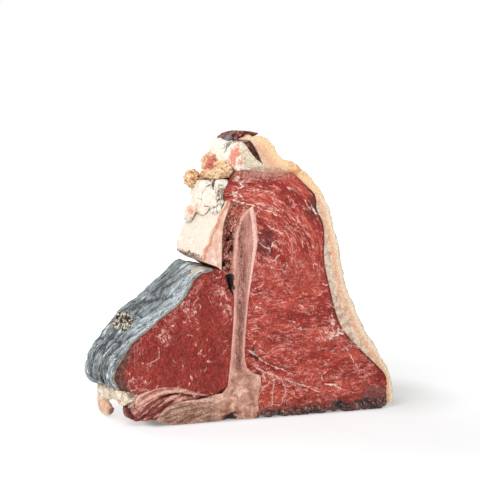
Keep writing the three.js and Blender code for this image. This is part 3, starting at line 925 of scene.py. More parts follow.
loinLook = {
    "deep": (144, 40, 32), "bright": (183, 74, 60), "toneSize": (20, 10, 7),
    "fibreSize": (4.6, 3.0, 1.3), "fibre": 0.38,
    "gapSize": (4.4, 3.0, 1.6), "gapShare": 0.42, "gapColour": (112, 24, 18),
    "grainSize": (2.4, 3.0, 1.1), "grainShare": 0.5, "paleColour": (240, 166, 154),
    "veins": [((10.0, 6.0, 3.6), 0.045, 0.5, 0.8), ((4.2, 5.0, 2.2), 0.05, 0.5, 0.8)],
    "palePatch": (246, 212, 198),
    "crustDeep": (28, 6, 4), "crustMiddle": (92, 36, 26), "crustPaleAndHighlight": (186, 142, 130),
    "purple": (84, 24, 28), "redder": (124, 18, 20), "greyPurple": (112, 68, 64), "rim": (78, 34, 30),
    "haze": (200, 164, 148), "wedge": (62, 24, 26), "darkEdge": (84, 38, 34), "foot": (108, 50, 44),
}
loinShape = {
    "face": (0.4, 0.8, 0.55, 18, 14), "fibre": 0.12, "strokeDepth": 0.2,
    # arcs above a height, level waves below it
    "arcCentre": (-14.1, 99.7), "arcLength": 40.0, "arcsAbove": 98,
    "purple": (8.0, 123.0, 8.0, 11.0), "redder": (97.0, 26.0, 5.0, 11.0), "greyPurple": (91.3, 11.0, 10.0, 7.5),
    "wedge": (-1.5, 41.0, 5.0, 7.5), "haze": (3.0, 169.5, 24.0, 4.2), "darkEdge": (45.0, 147.0, 4.5, 11.0),
    "bead": 2.1, "beadSize": 5.8, "endBead": (88.0, 3.0, 14.0, 5.6), "footLift": 2.4, "footReach": 9.0,
    "cluster": [(62.5, 57.0, 7.0, 2.6), (58.5, 62.5, 1.8, 4.5), (56.0, 52.5, 5.5, 1.5)],
    "busy": [(63.0, 57.0, 8.0, 6.0), (1.5, 80.0, 5.0, 40.0), (12.0, 117.0, 10.0, 12.0), (12.0, 146.0, 12.0, 6.0)],
    "pale": [
        ([(-4.2, 158.1), (4.6, 158.8), (14.0, 156.2)], 0.11, 0.85),
        ([(1.5, 149.7), (9.9, 147.5), (17.2, 143.4)], 0.12, 0.85),
        ([(2.5, 146.7), (12.9, 142.5), (17.2, 140.4)], 0.12, 0.85),
        ([(27.8, 138.7), (33.2, 136.0)], 0.18, 0.85), ([(25.3, 159.0), (26.2, 158.7)], 0.26, 1.0),
        ([(37.4, 150.8), (39.5, 145.9)], 0.13, 0.85), ([(42.7, 145.2), (46.0, 141.7)], 0.26, 1.0),
        ([(46.0, 141.7), (54.6, 137.5)], 0.11, 0.85), ([(9.9, 133.7), (14.1, 131.7), (22.6, 126.5)], 0.15, 0.85),
        ([(31.1, 130.1), (35.9, 128.0)], 0.11, 0.85), ([(3.7, 121.7), (9.9, 118.0)], 0.15, 0.85),
        ([(15.2, 122.8), (13.0, 119.9)], 0.18, 0.85), ([(18.4, 113.2), (14.1, 109.0)], 0.18, 0.85),
        ([(6.8, 112.3), (12.1, 108.1)], 0.15, 0.85), ([(13.0, 104.6), (25.9, 101.6)], 0.10, 0.85),
        ([(34.6, 106.6), (35.2, 105.6)], 0.18, 0.85), ([(-15.1, 152.0), (-7.9, 149.9), (0.0, 147.2)], 0.26, 1.0),
        ([(62.2, 58.6), (56.0, 55.0)], 0.12, 0.7), ([(68.4, 47.6), (74.0, 38.0), (80.2, 27.5)], 0.08, 0.85),
        ([(50.4, 26.5), (51.4, 23.6)], 0.36, 1.0), ([(54.0, 20.6), (60.0, 19.8), (65.0, 16.5)], 0.26, 1.0),
        ([(-4.0, 48.2), (5.8, 40.7), (15.4, 35.1), (24.4, 31.7)], 0.17, 0.85),
        ([(13.2, 28.9), (26.7, 24.5), (38.0, 20.2), (49.4, 15.1)], 0.17, 0.85),
    ],
}


def crustRelief(points, traits):
    # the crust covers the foot's wall and wraps a few millimetres over the cut face
    form = loinShape
    crust = np.where(traits["side"] > 0.2, traits["open"], 1 - easeBetween(1.4, 6.2, traits["skin"]))
    crust = np.maximum(crust, 1.3 * softSpot(points, form["endBead"])) * (1 - easeBetween(11, 15, points[:, 2]))
    near = crust > 0
    beads = np.zeros(len(points))
    first = scattered(points[near], form["beadSize"], 21)[0]
    beads[near] = 1 - (first / 4.2) ** 2 + 0.35 * layeredWave(points[near], 2.0, 22)
    traits["crust"], traits["bead"] = crust, beads
    # between some of the beads the foot rises off the table, less and less up to its reach
    lift = easeBetween(0.0, 0.6, layeredWave(points * (1, 1, 0), (6.0, 9.0, 5.0), 23, layers=2))
    points[:, 2] += form["footLift"] * lift * np.clip(1 - points[:, 2] / form["footReach"], 0, 1)
    return form["bead"] * crust * beads


def crustOver(place, colour, look):
    # near black between the beads, paler on top of them, with a few pale flakes that are partly dry spots and partly
    # painted highlights
    level = wave(place, (2.6, 2.6, 2.2), 4.0, 0.65)
    flakeAndHighlight = maths("MAXIMUM", useGroup(marbling, place, (4.0, 4.0, 3.0), 0.05, 0.4) * 0.6,
                  between(wave(place, 1.6, 3.0, 0.7), 0.56, 0.64, 0.0, 0.75))
    tone = coats(look["crustDeep"], (between(trait("bead") * 0.3 + level, 0.5, 0.85), look["crustMiddle"]),
                 (flakeAndHighlight, look["crustPaleAndHighlight"]))
    share = between(trait("crust") + level * 2.0 - 1.0, 0.32, 0.7)
    # the meat above it is dried too
    dried = between(level * 9.0 + axesOf(place)[2], 7.0, 17.0, 0.7, 0.0)
    return coats(colour, (dried, look["foot"]), (share, tone)), share


def loinMaterial():
    look = loinLook
    material = newMaterial("strip_loin_meat")
    place = placeOf()
    x, y, z = axesOf(place)
    above = between(z, 84.0, 112.0)
    busy = trait("busy") * 0.6 + 0.75
    level, fibreLevel = cutMeat(place, look, busy)
    curved, fibreCurved = cutMeat(joined(trait("arcAlong"), y, trait("arcAcross")), look, busy)
    fibre = addNode("Mix", {0: above, 2: fibreLevel, 3: fibreCurved}, data_type="FLOAT")
    colour = spotsOver(place, blend(above, level, curved), look, ("purple", 0.75), ("redder", 0.85),
                       ("greyPurple", 0.8), ("wedge", 0.95), ("haze", 0.5, 1.4, 1.3), ("darkEdge", 0.8))
    rim = useGroup(dryRim, place, trait("edge"), 1.6, 2.2) * (between(x, 25.0, 45.0) * between(z, 16.0, 24.0))
    colour = strokesOver(place, blend(rim * 0.8, colour, look["rim"]), "pale", look["palePatch"])
    colour, crust = crustOver(place, colour, look)
    finishMaterial(colour, crust * -0.14 + between(fibre, 0.2, 0.8, 0.34, 0.5), fibre * 0.5, bump=0.5, glow=0.08,
                   tooth=0.26, coat=crust * 0.6)
    return material


def makeLoin():
    form = loinShape
    points, faces, traits = tissueSurface("strip_loin", spacing=0.52)

    def slope(middle):
        # round the bone's tip above, level below
        off = middle - np.array(form["arcCentre"])
        return np.where(middle[:, 1] > form["arcsAbove"], np.arctan2(off[:, 1], off[:, 0]) + np.pi / 2, 0.0)

    strokes = wavering(form["pale"], 20)
    strokes += randomCurls(19, 420, (-12.0, 12.0, 96.0, 168.0), slope, (1.2, 5.0), (0.0, 0.12), (0.12, 0.65),
                           form["busy"], least=0.5)
    # a cluster of short thick ones by the outer edge, and a ragged border at the top left
    strokes += randomCurls(29, 200, (48.0, 48.0, 77.0, 70.0), 0.0, (0.4, 1.6), (0.1, 0.4), (0.5, 1.0),
                           form["cluster"], least=0.0, turned=1.2)
    strokes += randomCurls(33, 90, (-16.0, 146.0, -5.0, 170.0), 1.2, (0.5, 2.0), (0.1, 0.45), (0.5, 1.0),
                           [(-12.0, 158.0, 3.0, 10.0)], least=0.0, turned=1.0)
    away = strokeTraits(points, traits, "pale", strokes)
    off = points[:, [0, 2]] - np.array(form["arcCentre"])
    traits["arcAlong"] = np.arctan2(off[:, 1], off[:, 0]) * form["arcLength"]
    traits["arcAcross"] = np.hypot(off[:, 0], off[:, 1])
    for spot in ("purple", "redder", "greyPurple", "wedge", "haze", "darkEdge"):
        traits[spot] = softSpot(points, form[spot])
    traits["busy"] = favoured(points, form["busy"])
    fine = form["fibre"] * layeredWave(points, (4.0, 3.0, 0.9), 15, layers=2)
    fine -= form["strokeDepth"] * (1 - easeBetween(0.0, 0.6, away))
    relief = faceHeight(points, traits, *form["face"]) + fine * (1 - traits["side"]) + crustRelief(points, traits)
    addPiece("strip_loin_muscle", "strip_loin", points, faces, traits, relief, loinMaterial())


# The chain muscle below the loin's sinew, with white sinews running down through it

chainLook = dict(loinLook, deep=(142, 40, 32), bright=(186, 78, 60), palePatch=(236, 184, 168))
chainShape = {
    "face": (0.35, 0.8, 0.5, 9, 31), "fibre": 0.1, "wedge": (3.0, 30.0, 5.0, 3.0),
    "busy": [(10.0, 32.0, 9.0, 6.0)],
    "pale": [
        ([(15.5, 26.9), (10.3, 23.9), (5.1, 18.8), (2.9, 12.1)], 0.18, 0.85),
        ([(15.5, 26.0), (14.2, 19.3), (14.0, 13.4), (13.3, 5.0)], 0.15, 0.85),
        ([(0.8, 36.3), (9.3, 31.5), (20.7, 26.5)], 0.40, 1.0),
        ([(5.3, 34.3), (8.8, 26.3)], 0.26, 1.0), ([(20.7, 26.5), (24.0, 18.0), (21.0, 9.0)], 0.11, 0.85),
    ],
}


def makeChain():
    form, look = chainShape, chainLook
    points, faces, traits = tissueSurface("chain_muscle", spacing=0.52)
    curls = randomCurls(23, 60, (-2.0, 2.0, 55.0, 40.0), -0.3, (1.2, 4.0), (0.0, 0.12), (0.3, 0.8), form["busy"],
                        least=0.4, turned=0.6)
    strokeTraits(points, traits, "pale", wavering(form["pale"], 24) + curls)
    traits["wedge"] = softSpot(points, form["wedge"])
    relief = faceHeight(points, traits, *form["face"]) + crustRelief(points, traits)
    relief += form["fibre"] * layeredWave(points, (3.5, 3.0, 0.9), 32, layers=2) * (1 - traits["side"])
    material = newMaterial("chain_meat")
    place = placeOf()
    colour, fibre = cutMeat(place, look)
    colour = strokesOver(place, spotsOver(place, colour, look, ("wedge", 0.7)), "pale", look["palePatch"])
    colour, crust = crustOver(place, colour, look)
    finishMaterial(colour, crust * -0.12 + between(fibre, 0.2, 0.8, 0.34, 0.5), fibre, bump=0.4, glow=0.08,
                   tooth=0.26, coat=crust * 0.6)
    addPiece("chain_muscle_meat", "chain_muscle", points, faces, traits, relief, material)


# The bone: a pink stem with a grey-brown core, a tan porous base and a browner arch

boneLook = {
    "pink": (196, 138, 124), "pinkDeep": (166, 104, 90), "pinkPale": (224, 168, 154),
    "core": (128, 76, 64), "corePale": (178, 121, 107), "coreDark": (84, 52, 44),
    "tan": (202, 150, 128), "tanDeep": (162, 106, 84), "tanPale": (242, 200, 178),
    "brown": (110, 64, 50), "brownPale": (190, 152, 130), "edge": (236, 182, 168),
    # pit: dark brown, also darkened as painted shade in its hollow; gap: a painted shadow in the seam by the
    # tenderloin
    "blood": (160, 62, 48), "light": (252, 204, 190), "pit": (58, 36, 24), "gap": (28, 10, 8),
}
boneShape = {
    "face": (0.35, 0.7, 0.35, 12, 41), "grain": 0.16,
    "core": [(-10.4, 136.0), (-8.4, 105.0), (-9.9, 70.5), (-12.0, 36.0)], "coreHalf": 2.4,
    "pit": (-16.5, 1.2, 6.2, 4.2), "pitDepth": 6.0,
    "blood": [([(-13.0, 8.0), (-10.0, 5.0)], 0.5, 0.7), ([(3.0, 3.0), (1.0, 1.0)], 0.8, 0.7),
              ([(-24.0, 6.5), (-19.0, 6.8)], 0.3, 0.7), ([(-10.4, 147.0), (-13.4, 136.0)], 1.6, 0.7)],
    "light": [([(-2.2, 147.0), (0.6, 124.2), (-3.2, 90.0), (-2.0, 66.0)], 0.7, 0.85),
              ([(-26.5, 14.5), (-40.0, 16.2), (-56.0, 16.0)], 0.9, 0.5)],
}


def boneMaterial():
    look = boneLook
    material = newMaterial("sawn_bone")
    place = placeOf()
    x, y, z = axesOf(place)
    grain = wave(place, (1.5, 3.0, 10.0), 5.0, 0.72)
    crumb = wave(place, (7.0, 5.0, 7.0), 5.0, 0.66, 0.5)
    streak = wave(joined(x, y, x * -0.22 + z), (10.0, 5.0, 2.2), 5.0, 0.72, 0.5)
    low = 1 - between(z, 24.0, 52.0)
    arch = (1 - between(z, 15.0, 26.0)) * (1 - between(x, -34.0, -20.0))
    core = 1 - between(trait("core"), -2.0, 1.2)
    pores = between(wave(place, (1.1, 1.6, 2.6), 3.0, 0.75), 0.54, 0.64) * (core * 0.85 + 0.1)
    tan = coats(look["tanDeep"], (between(crumb, 0.37, 0.5), look["tan"]),
                (between(crumb, 0.5, 0.64), look["tanPale"]))
    colour = coats(
        look["pinkDeep"],
        (between(grain, 0.36, 0.52), look["pink"]),
        (between(grain, 0.54, 0.68), look["pinkPale"]),
        (low, tan),
        (arch * 0.85, blend(between(streak, 0.4, 0.6), look["brown"], look["brownPale"])),
        (core * 0.85, blend(between(grain, 0.4, 0.62), look["core"], look["corePale"])),
        (pores, look["coreDark"]),
        ((1 - between(trait("edge"), 0.3, 1.7)) * (1 - low * 0.7) * 0.7, look["edge"]),
    )
    colour = strokesOver(place, colour, "light", look["light"], soft=1.0)
    colour = strokesOver(place, colour, "blood", look["blood"], soft=1.4, broken=(-0.8, 1.2))
    # painted shade: the pit's hollow is painted dark, and the gap spot is a painted shadow in the seam by the
    # tenderloin
    colour = spotsOver(place, colour, look, ("pit", 0.96), ("gap", 0.95))
    finishMaterial(colour, 0.46, crumb * 0.6 - pores * 0.8, bump=0.6, glow=0.12, specular=0.4,
                   tooth=maths("MAXIMUM", core, arch) * 0.16 + 0.13)
    return material


def makeBone():
    form = boneShape
    points, faces, traits = tissueSurface("t_bone", rows=16, straight=True, seamRim=0.5)
    traits["core"] = distanceTo(points[:, [0, 2]], np.array(form["core"])) - form["coreHalf"]
    for strokes in ("blood", "light"):
        strokeTraits(points, traits, strokes, form[strokes])
    traits["gap"] = boneGapShade(points, traits, 1.2)
    relief = faceHeight(points, traits, *form["face"]) + form["grain"] * layeredWave(points, 1.5, 42, layers=2)
    # the pit: front points sink back into the bone
    ragged = points + 2.4 * wander(points, 3.0, (43, 44, 45))
    traits["pit"] = softSpot(ragged, form["pit"]) * hump(points[:, 1], cutFace, 7)
    points[:, 1] += form["pitDepth"] * traits["pit"]
    addPiece("t_bone_sawn", "t_bone", points, faces, traits, relief, boneMaterial())


# The outer fat: a grey-cream band next to the meat, a golden one outside, and the crown on top

capLook = {
    "inner": (234, 210, 190), "innerDeep": (198, 160, 138), "outer": (243, 186, 146), "outerPale": (255, 229, 198),
    "edge": (255, 244, 222), "amber": (232, 166, 122), "hide": (250, 204, 170), "hidePale": (255, 230, 202),
    # edge: a painted highlight along the outer free edge
    "crown": (218, 200, 174), "crownDeep": (164, 142, 118), "crownPale": (242, 228, 204),
    "crownRight": (233, 182, 148), "crownEdge": (253, 214, 168), "orange": (226, 122, 88), "white": (254, 246, 232),
    "pinkLine": (168, 96, 80), "amberTop": (216, 148, 86), "creviceShade": (112, 66, 40),
    "flapRim": (108, 44, 36), "flapHollowShade": (112, 120, 128), "crownFoot": (168, 122, 108),
}
capShape = {
    "face": (0.3, 0.8, 0.4, 8, 51), "lumps": 1.4, "fray": 0.5, "chunks": 0.9, "chunkSize": 7.0,
    "chunksAbove": 150, "bulges": 1.2, "waves": 1.3,
    "orange": (-17.5, -22.0, 181.5, 9.0), "amberTop": (30.0, -20.0, 172.0, 6.0),
    "creviceShade": (-15.0, -16.0, 169.5, 5.0), "flapRim": (-16.5, -4.0, 190.0, 6.0),
    "flapHollowShade": (-14.5, -6.0, 190.5, 4.0), "crownFoot": (10.0, 169.5, 24.0, 4.2),
}


def capMaterial():
    look = capLook
    material = newMaterial("outer_fat")
    place = placeOf()
    x, _, z = axesOf(place)
    skin, crown = trait("skin"), trait("crown")
    cloud, small = wave(place, 5.0, 4.0, 0.6), wave(place, 2.0, 4.0, 0.7)
    # on the outside, wide soft patches of amber, peach and cream
    patch = wave(place, (18.0, 18.0, 30.0), 5.0, 0.6, 0.6)
    hide = coats(
        look["amber"],
        (between(patch, 0.3, 0.48), look["hide"]),
        (between(patch, 0.5, 0.72), look["hidePale"]),
        (between(small, 0.5, 0.7, 0.0, 0.5), look["outerPale"]),
    )
    outside = trait("open") * between(trait("side"), 0.75, 1.0, 0.0, 0.9)
    drift = small * 3.0 + (cloud * 3.0 + skin)
    band = coats(
        look["amber"],
        (between(cloud, 0.32, 0.52), look["outer"]),
        (between(small, 0.52, 0.74, 0.0, 0.5), look["outerPale"]),
        # painted highlight: the palest cream along the outer free edge
        ((1 - between(cloud * 3.0 + skin, 1.4, 4.2)) * 0.65, look["edge"]),
        (outside, hide),
        (between(drift, 4.6, 9.0), blend(between(cloud, 0.35, 0.6), look["innerDeep"], look["inner"])),
    )
    # the crown: a cream face left of the slit, a golden one right of it and a white flank at its left
    slant = z * 0.55 + (cloud * 6.0 + x)
    gold = coats(look["crownEdge"], (between(drift, 4.0, 10.0), look["crownRight"]),
                 (between(small, 0.52, 0.75, 0.0, 0.6), look["outerPale"]))
    face = coats(
        look["crown"],
        (between(small, 0.4, 0.6), look["crownPale"]),
        (between(cloud, 0.5, 0.66, 0.0, 0.8), look["crownDeep"]),
        (between(slant, 104.0, 111.0), gold),
        (between(cloud * 8.0 + x, -9.0, -1.0, 1.0, 0.0),
         blend(between(small, 0.42, 0.7, 0.0, 0.7), look["white"], look["crownPale"])),
    )
    colour = blend(crown, band, spotsOver(place, face, look, ("orange", 0.85)))
    # creviceShade is a painted shade of a crevice, and flapHollowShade a painted shadow inside the flap's hollow
    colour = spotsOver(place, colour, look, ("crownFoot", 0.6), ("amberTop", 0.85), ("creviceShade", 0.9),
                       ("flapRim", 0.9), ("flapHollowShade", 0.95))
    pinkLine = 1 - between(small * 3.6 + trait("edge"), 1.2, 2.4)
    colour = blend(pinkLine * between(skin, 4.0, 6.0) * 0.45, colour, look["pinkLine"])
    # rougher on the cut band and the cream face, waxy elsewhere
    waxy = maths("MAXIMUM", crown * between(slant, 100.0, 108.0), outside)
    finishMaterial(colour, between(small, 0.3, 0.7, 0.4, 0.58), small + cloud * 0.8, bump=0.75, glow=0.2,
                   specular=0.3, tooth=waxy * -0.1 + 0.15)
    return material


def makeCap():
    form = capShape
    points, faces, traits = tissueSurface("fat_cap", rows=50)
    wall = traits["side"] * traits["open"]
    traits["crown"] = easeBetween(168, 174, points[:, 2] + 0.35 * np.abs(points[:, 0]))
    for spot in ("orange", "amberTop", "creviceShade", "flapRim", "flapHollowShade"):
        traits[spot] = roundSpot(points, form[spot])
    traits["crownFoot"] = softSpot(points, form["crownFoot"]) * (1 - traits["side"])
    outer = form["lumps"] * layeredWave(points, 5.0, 52, layers=4, rough=0.65)
    outer += form["fray"] * layeredWave(points, 1.7, 54, layers=2)
    outer += form["bulges"] * layeredWave(points, 15.0, 55, layers=2)
    outer += (form["waves"] * (1 - traits["crown"]) * easeBetween(2, 9, traits["depth"])
              * layeredWave(points, (24.0, 9.0, 24.0), 56))
    # the crown's left half is cracked into chunks
    knobbly = (wall > 0) & (points[:, 0] < 0) & (points[:, 2] > form["chunksAbove"])
    near, second = scattered(points[knobbly], form["chunkSize"], 53)
    outer[knobbly] -= traits["crown"][knobbly] * form["chunks"] * (1 - easeBetween(0.0, 1.8, second - near))
    relief = faceHeight(points, traits, *form["face"]) + wall * outer
    addPiece("fat_cap_outer", "fat_cap", points, faces, traits, relief, capMaterial())


# Plainer fat and membranes share one recipe: three tones of one stretched random wave, and crevices

def plainMaterial(name, look):
    material = newMaterial(name)
    place = flow = placeOf()
    if look.get("strands"):
        flow = joined(trait("lengthways"), axesOf(place)[1], trait("crossways"))
    level = wave(flow, look["size"], 4.0, 0.6, look.get("twist", 0.3))
    colour = coats(look["deep"], (between(level, 0.32, 0.5), look["middle"]),
                   (between(level, 0.52, 0.68), look["pale"]))
    for tone, *vein, strength in look.get("lines", []):
        colour = blend(useGroup(marbling, flow, *vein) * strength, colour, tone)
    for spot, tone, strength, *ragged in look.get("spots", []):
        colour = blend(raggedShare(place, spot, strength, 2.5, *ragged), colour, tone)
    for tone, sizes, low, high, strength in look.get("blotches", []):
        colour = blend(between(wave(place, sizes, 5.0, 0.75), low, high, 0.0, strength), colour, tone)
    for stroke, tone in look.get("strokes", []):
        colour = strokesOver(place, colour, stroke, tone, soft=0.9, broken=(-0.5, 0.7))
    finishMaterial(colour, look["rough"], level + wave(place, 1.0, 3.0) * 0.5, bump=look["bump"], glow=0.2,
                   specular=0.3, tooth=look.get("tooth", 0.12), grit=look.get("grit", 1.0))
    return material


lowerFatLook = {
    "face": (0.4, 1.0, 0.4, 9, 61), "lumps": 0.9, "swelling": (-37.0, 5.0, 112.0, 12.0),
    "underHeight": 104.5, "underSlope": 0.45, "underCorner": -17.0,
    "size": (4.0, 6.0, 9.0), "deep": (222, 166, 146), "middle": (236, 192, 172), "pale": (246, 220, 204),
    "rough": 0.5, "bump": 0.7, "tooth": 0.07, "grit": 0.8,
    "spots": [("line", (206, 130, 86), 0.8), ("outside", (234, 220, 204), 0.95), ("under", (88, 54, 38), 0.9, 1.5)],
    "blotches": [((206, 176, 154), 3.0, 0.56, 0.66, 0.6), ((252, 246, 236), (5.0, 5.0, 6.0), 0.54, 0.66, 0.7)],
}


def makeKidneyFatLower():
    look = lowerFatLook
    points, faces, traits = tissueSurface("kidney_fat_lower", rows=50)
    wall = traits["outside"] = traits["side"] * traits["open"]
    lumps = look["lumps"] * layeredWave(points, 5.0, 62, layers=4, rough=0.65)
    relief = faceHeight(points, traits, *look["face"]) + wall * (lumps + roundSpot(points, look["swelling"]))
    traits["line"] = hump(traits["skin"] + 1.4 * layeredWave(points, 7.0, 63), 1.0, 0.9) * (1 - wall)
    # the shaded underside, below a slanting ragged line
    line = look["underHeight"] + look["underSlope"] * (look["underCorner"] - points[:, 0])
    above = points[:, 2] - line + 1.5 * layeredWave(points, 4.0, 64)
    traits["under"] = wall * (1 - easeBetween(-1.6, 2.2, above))
    material = plainMaterial("smooth_kidney_fat", look)
    addPiece("kidney_fat_smooth", "kidney_fat_lower", points, faces, traits, relief, material)


seamLook = {
    "face": (0.2, 0.8, 0.9, 3.5, 71), "lumps": 1.4, "holeDepth": 3.5, "warm": (-9.5, 143.5, 6.0, 3.5),
    "holes": [(-16.5, 122.0, 3.2, 9.0), (-18.5, 106.5, 4.0, 4.5)],
    "size": (2.2, 3.0, 3.0), "deep": (70, 16, 12), "middle": (134, 48, 38), "pale": (206, 130, 114),
    "rough": 0.38, "bump": 1.0, "tooth": 0.42, "grit": 1.6,
    "lines": [((232, 178, 160), (4.0, 4.0, 5.0), 0.06, 0.55, 0.85)],
    "spots": [("warm", (196, 78, 54), 0.7), ("border", (216, 146, 126), 0.8), ("hole", (24, 8, 6), 0.97)],
    "blotches": [((238, 192, 174), (1.8, 3.0, 2.6), 0.54, 0.62, 0.8), ((44, 8, 6), (2.6, 3.0, 3.4), 0.6, 0.68, 0.85)],
}


def makeSeamMeat():
    look = seamLook
    points, faces, traits = tissueSurface("seam_meat", rows=8)
    lump = layeredWave(points, (2.6, 3.0, 3.4), 72, rough=0.6)
    # the holes sink into the face, and the look paints them near black as their shade
    traits["hole"] = favoured(points, look["holes"]) * (1 - easeBetween(-0.2, 0.3, lump))
    traits["warm"] = softSpot(points, look["warm"])
    traits["border"] = 1 - easeBetween(0.2, 2.0, traits["edge"])
    torn = look["lumps"] * lump - look["holeDepth"] * traits["hole"]
    relief = faceHeight(points, traits, *look["face"]) + torn * (1 - traits["side"])
    addPiece("seam_meat_torn", "seam_meat", points, faces, traits, relief, plainMaterial("torn_meat", look))


# the strokes that show on the folds, pale strands and dark gaps, whose dark is partly the tissue's and partly painted
# shade in the gaps, and the line that they follow
foldStrokes = {
    "strand": [
        ([(-85.3, 19.3), (-74.8, 25.3), (-60.7, 28.5), (-43.0, 25.9)], 0.9, 0.85),
        ([(-74.9, 19.9), (-64.3, 23.2), (-46.6, 21.3), (-28.6, 17.9)], 0.7, 0.8),
        ([(-55.1, 19.8), (-67.9, 15.3), (-77.7, 9.1)], 0.7, 0.85),
        ([(-50.1, 18.1), (-62.2, 12.1), (-71.4, 5.9)], 0.5, 0.7),
        ([(-83.0, 16.0), (-76.0, 19.0), (-68.0, 22.5)], 0.6, 0.8),
        ([(-90.9, 11.5), (-88.0, 5.0), (-82.0, 1.5)], 0.5, 0.7),
    ],
    "dark": [
        ([(-67.8, 20.2), (-57.2, 21.4), (-45.0, 18.6)], 0.4, 0.85),
        ([(-38.0, 17.0), (-33.1, 16.8), (-23.5, 18.3)], 0.7, 0.95),
        ([(-64.3, 17.0), (-74.9, 10.3), (-79.8, 5.9)], 0.5, 0.9),
        ([(-58.0, 15.6), (-70.0, 8.2), (-76.0, 2.6)], 0.4, 0.85),
        ([(-92.0, 17.4), (-90.2, 12.5), (-87.4, 6.6)], 1.5, 0.9),
        ([(-80.0, 20.0), (-70.0, 24.4), (-60.0, 25.2)], 0.2, 0.6),
    ],
}
foldGuide = [(-97.0, -6.0), (-84.0, -0.5), (-72.5, 6.2), (-60.7, 11.2), (-47.0, 14.2), (-28.8, 14.7), (-14.0, 19.0)]
bandLook = {
    "face": (0.5, 1.2, 0.8, 5, 81), "strandHeight": 0.6,
    "size": (9.0, 5.0, 1.9), "deep": (178, 94, 82), "middle": (204, 132, 116), "pale": (246, 202, 184),
    "rough": 0.42, "bump": 0.9, "twist": 0.4, "strands": True,
    "lines": [((128, 44, 38), (8.0, 5.0, 2.4), 0.04, 0.45, 0.5), ((255, 226, 210), (7.0, 5.0, 2.0), 0.06, 0.5, 0.5)],
    "blotches": [((196, 164, 144), (5.0, 5.0, 4.0), 0.54, 0.66, 0.6),
                 ((150, 56, 48), (4.0, 4.0, 2.6), 0.56, 0.66, 0.5)],
    # the dark strokes are partly the tissue's dark red and partly painted shade in the gaps between strands
    "strokes": [("strand", (244, 198, 180)), ("dark", (148, 62, 54))],
}


def strandRelief(points, traits):
    # strands follow a line along the top of the bone's arch: how far along it, and how far above it
    along = traits["lengthways"] = points[:, 0] + 0.6 * points[:, 2]
    across = traits["crossways"] = distanceTo(points[:, [0, 2]], np.array(foldGuide))
    return layeredWave(np.stack([along / 10, points[:, 1] / 6, across / 1.9], axis=1), 1.0, 83, rough=0.6)


def strokeRelief(points, traits, **lifts):
    # the strokes stand out or lie deep by the named heights
    return sum(lift * (1 - easeBetween(0, 1.6, strokeTraits(points, traits, name, foldStrokes[name])))
               for name, lift in lifts.items())


def makeFoldFat():
    points, faces, traits = tissueSurface("fold_fat", rows=8, seamRim=0.6)
    strands = bandLook["strandHeight"] * strandRelief(points, traits)
    strands += strokeRelief(points, traits, strand=0.3, dark=-0.35)
    relief = faceHeight(points, traits, *bandLook["face"]) + strands * (1 - traits["side"])
    addPiece("fold_fat_band", "fold_fat", points, faces, traits, relief, plainMaterial("pink_band_fat", bandLook))


def makeLump(name, node, look, relief, spots, seed):
    # relief is a strength, a size and a number of layers
    points, faces = lumpSurface(node, smoothing=look.get("smoothing", 6))
    for spot, shift in look.get("pushes", []):
        points = points + roundSpot(points, spot)[:, None] * np.array(shift)
    traits = {label: roundSpot(points, spot) for label, spot in spots.items()}
    strength, size, layers = relief
    bumps = strength * layeredWave(points, size, seed, layers=layers, rough=0.6)
    if look.get("strands"):
        bumps += 1.2 * strandRelief(points, traits)
    if look.get("crease"):
        size, depth = look["crease"]
        near, second = scattered(points + 2.0 * wander(points, 5.0, (seed + 1, seed + 2, seed + 3)), size, seed)
        # the creases lie deep, and the looks' gap spot paints them dark as their shade
        traits["gap"] = 1 - easeBetween(0.0, 0.9, second - near)
        traits["gap"] *= easeBetween(-0.35, 0.15, layeredWave(points, size, seed + 4))
        bumps += 0.35 * layeredWave(points, 1.8, seed + 5, layers=2) - depth * traits["gap"]
    if look.get("strokes"):
        bumps += strokeRelief(points, traits, strand=0.4, dark=-0.6) * (points[:, 1] < -18)
    addPiece(name, node, points, faces, traits, bumps, plainMaterial(name + "_finish", look))
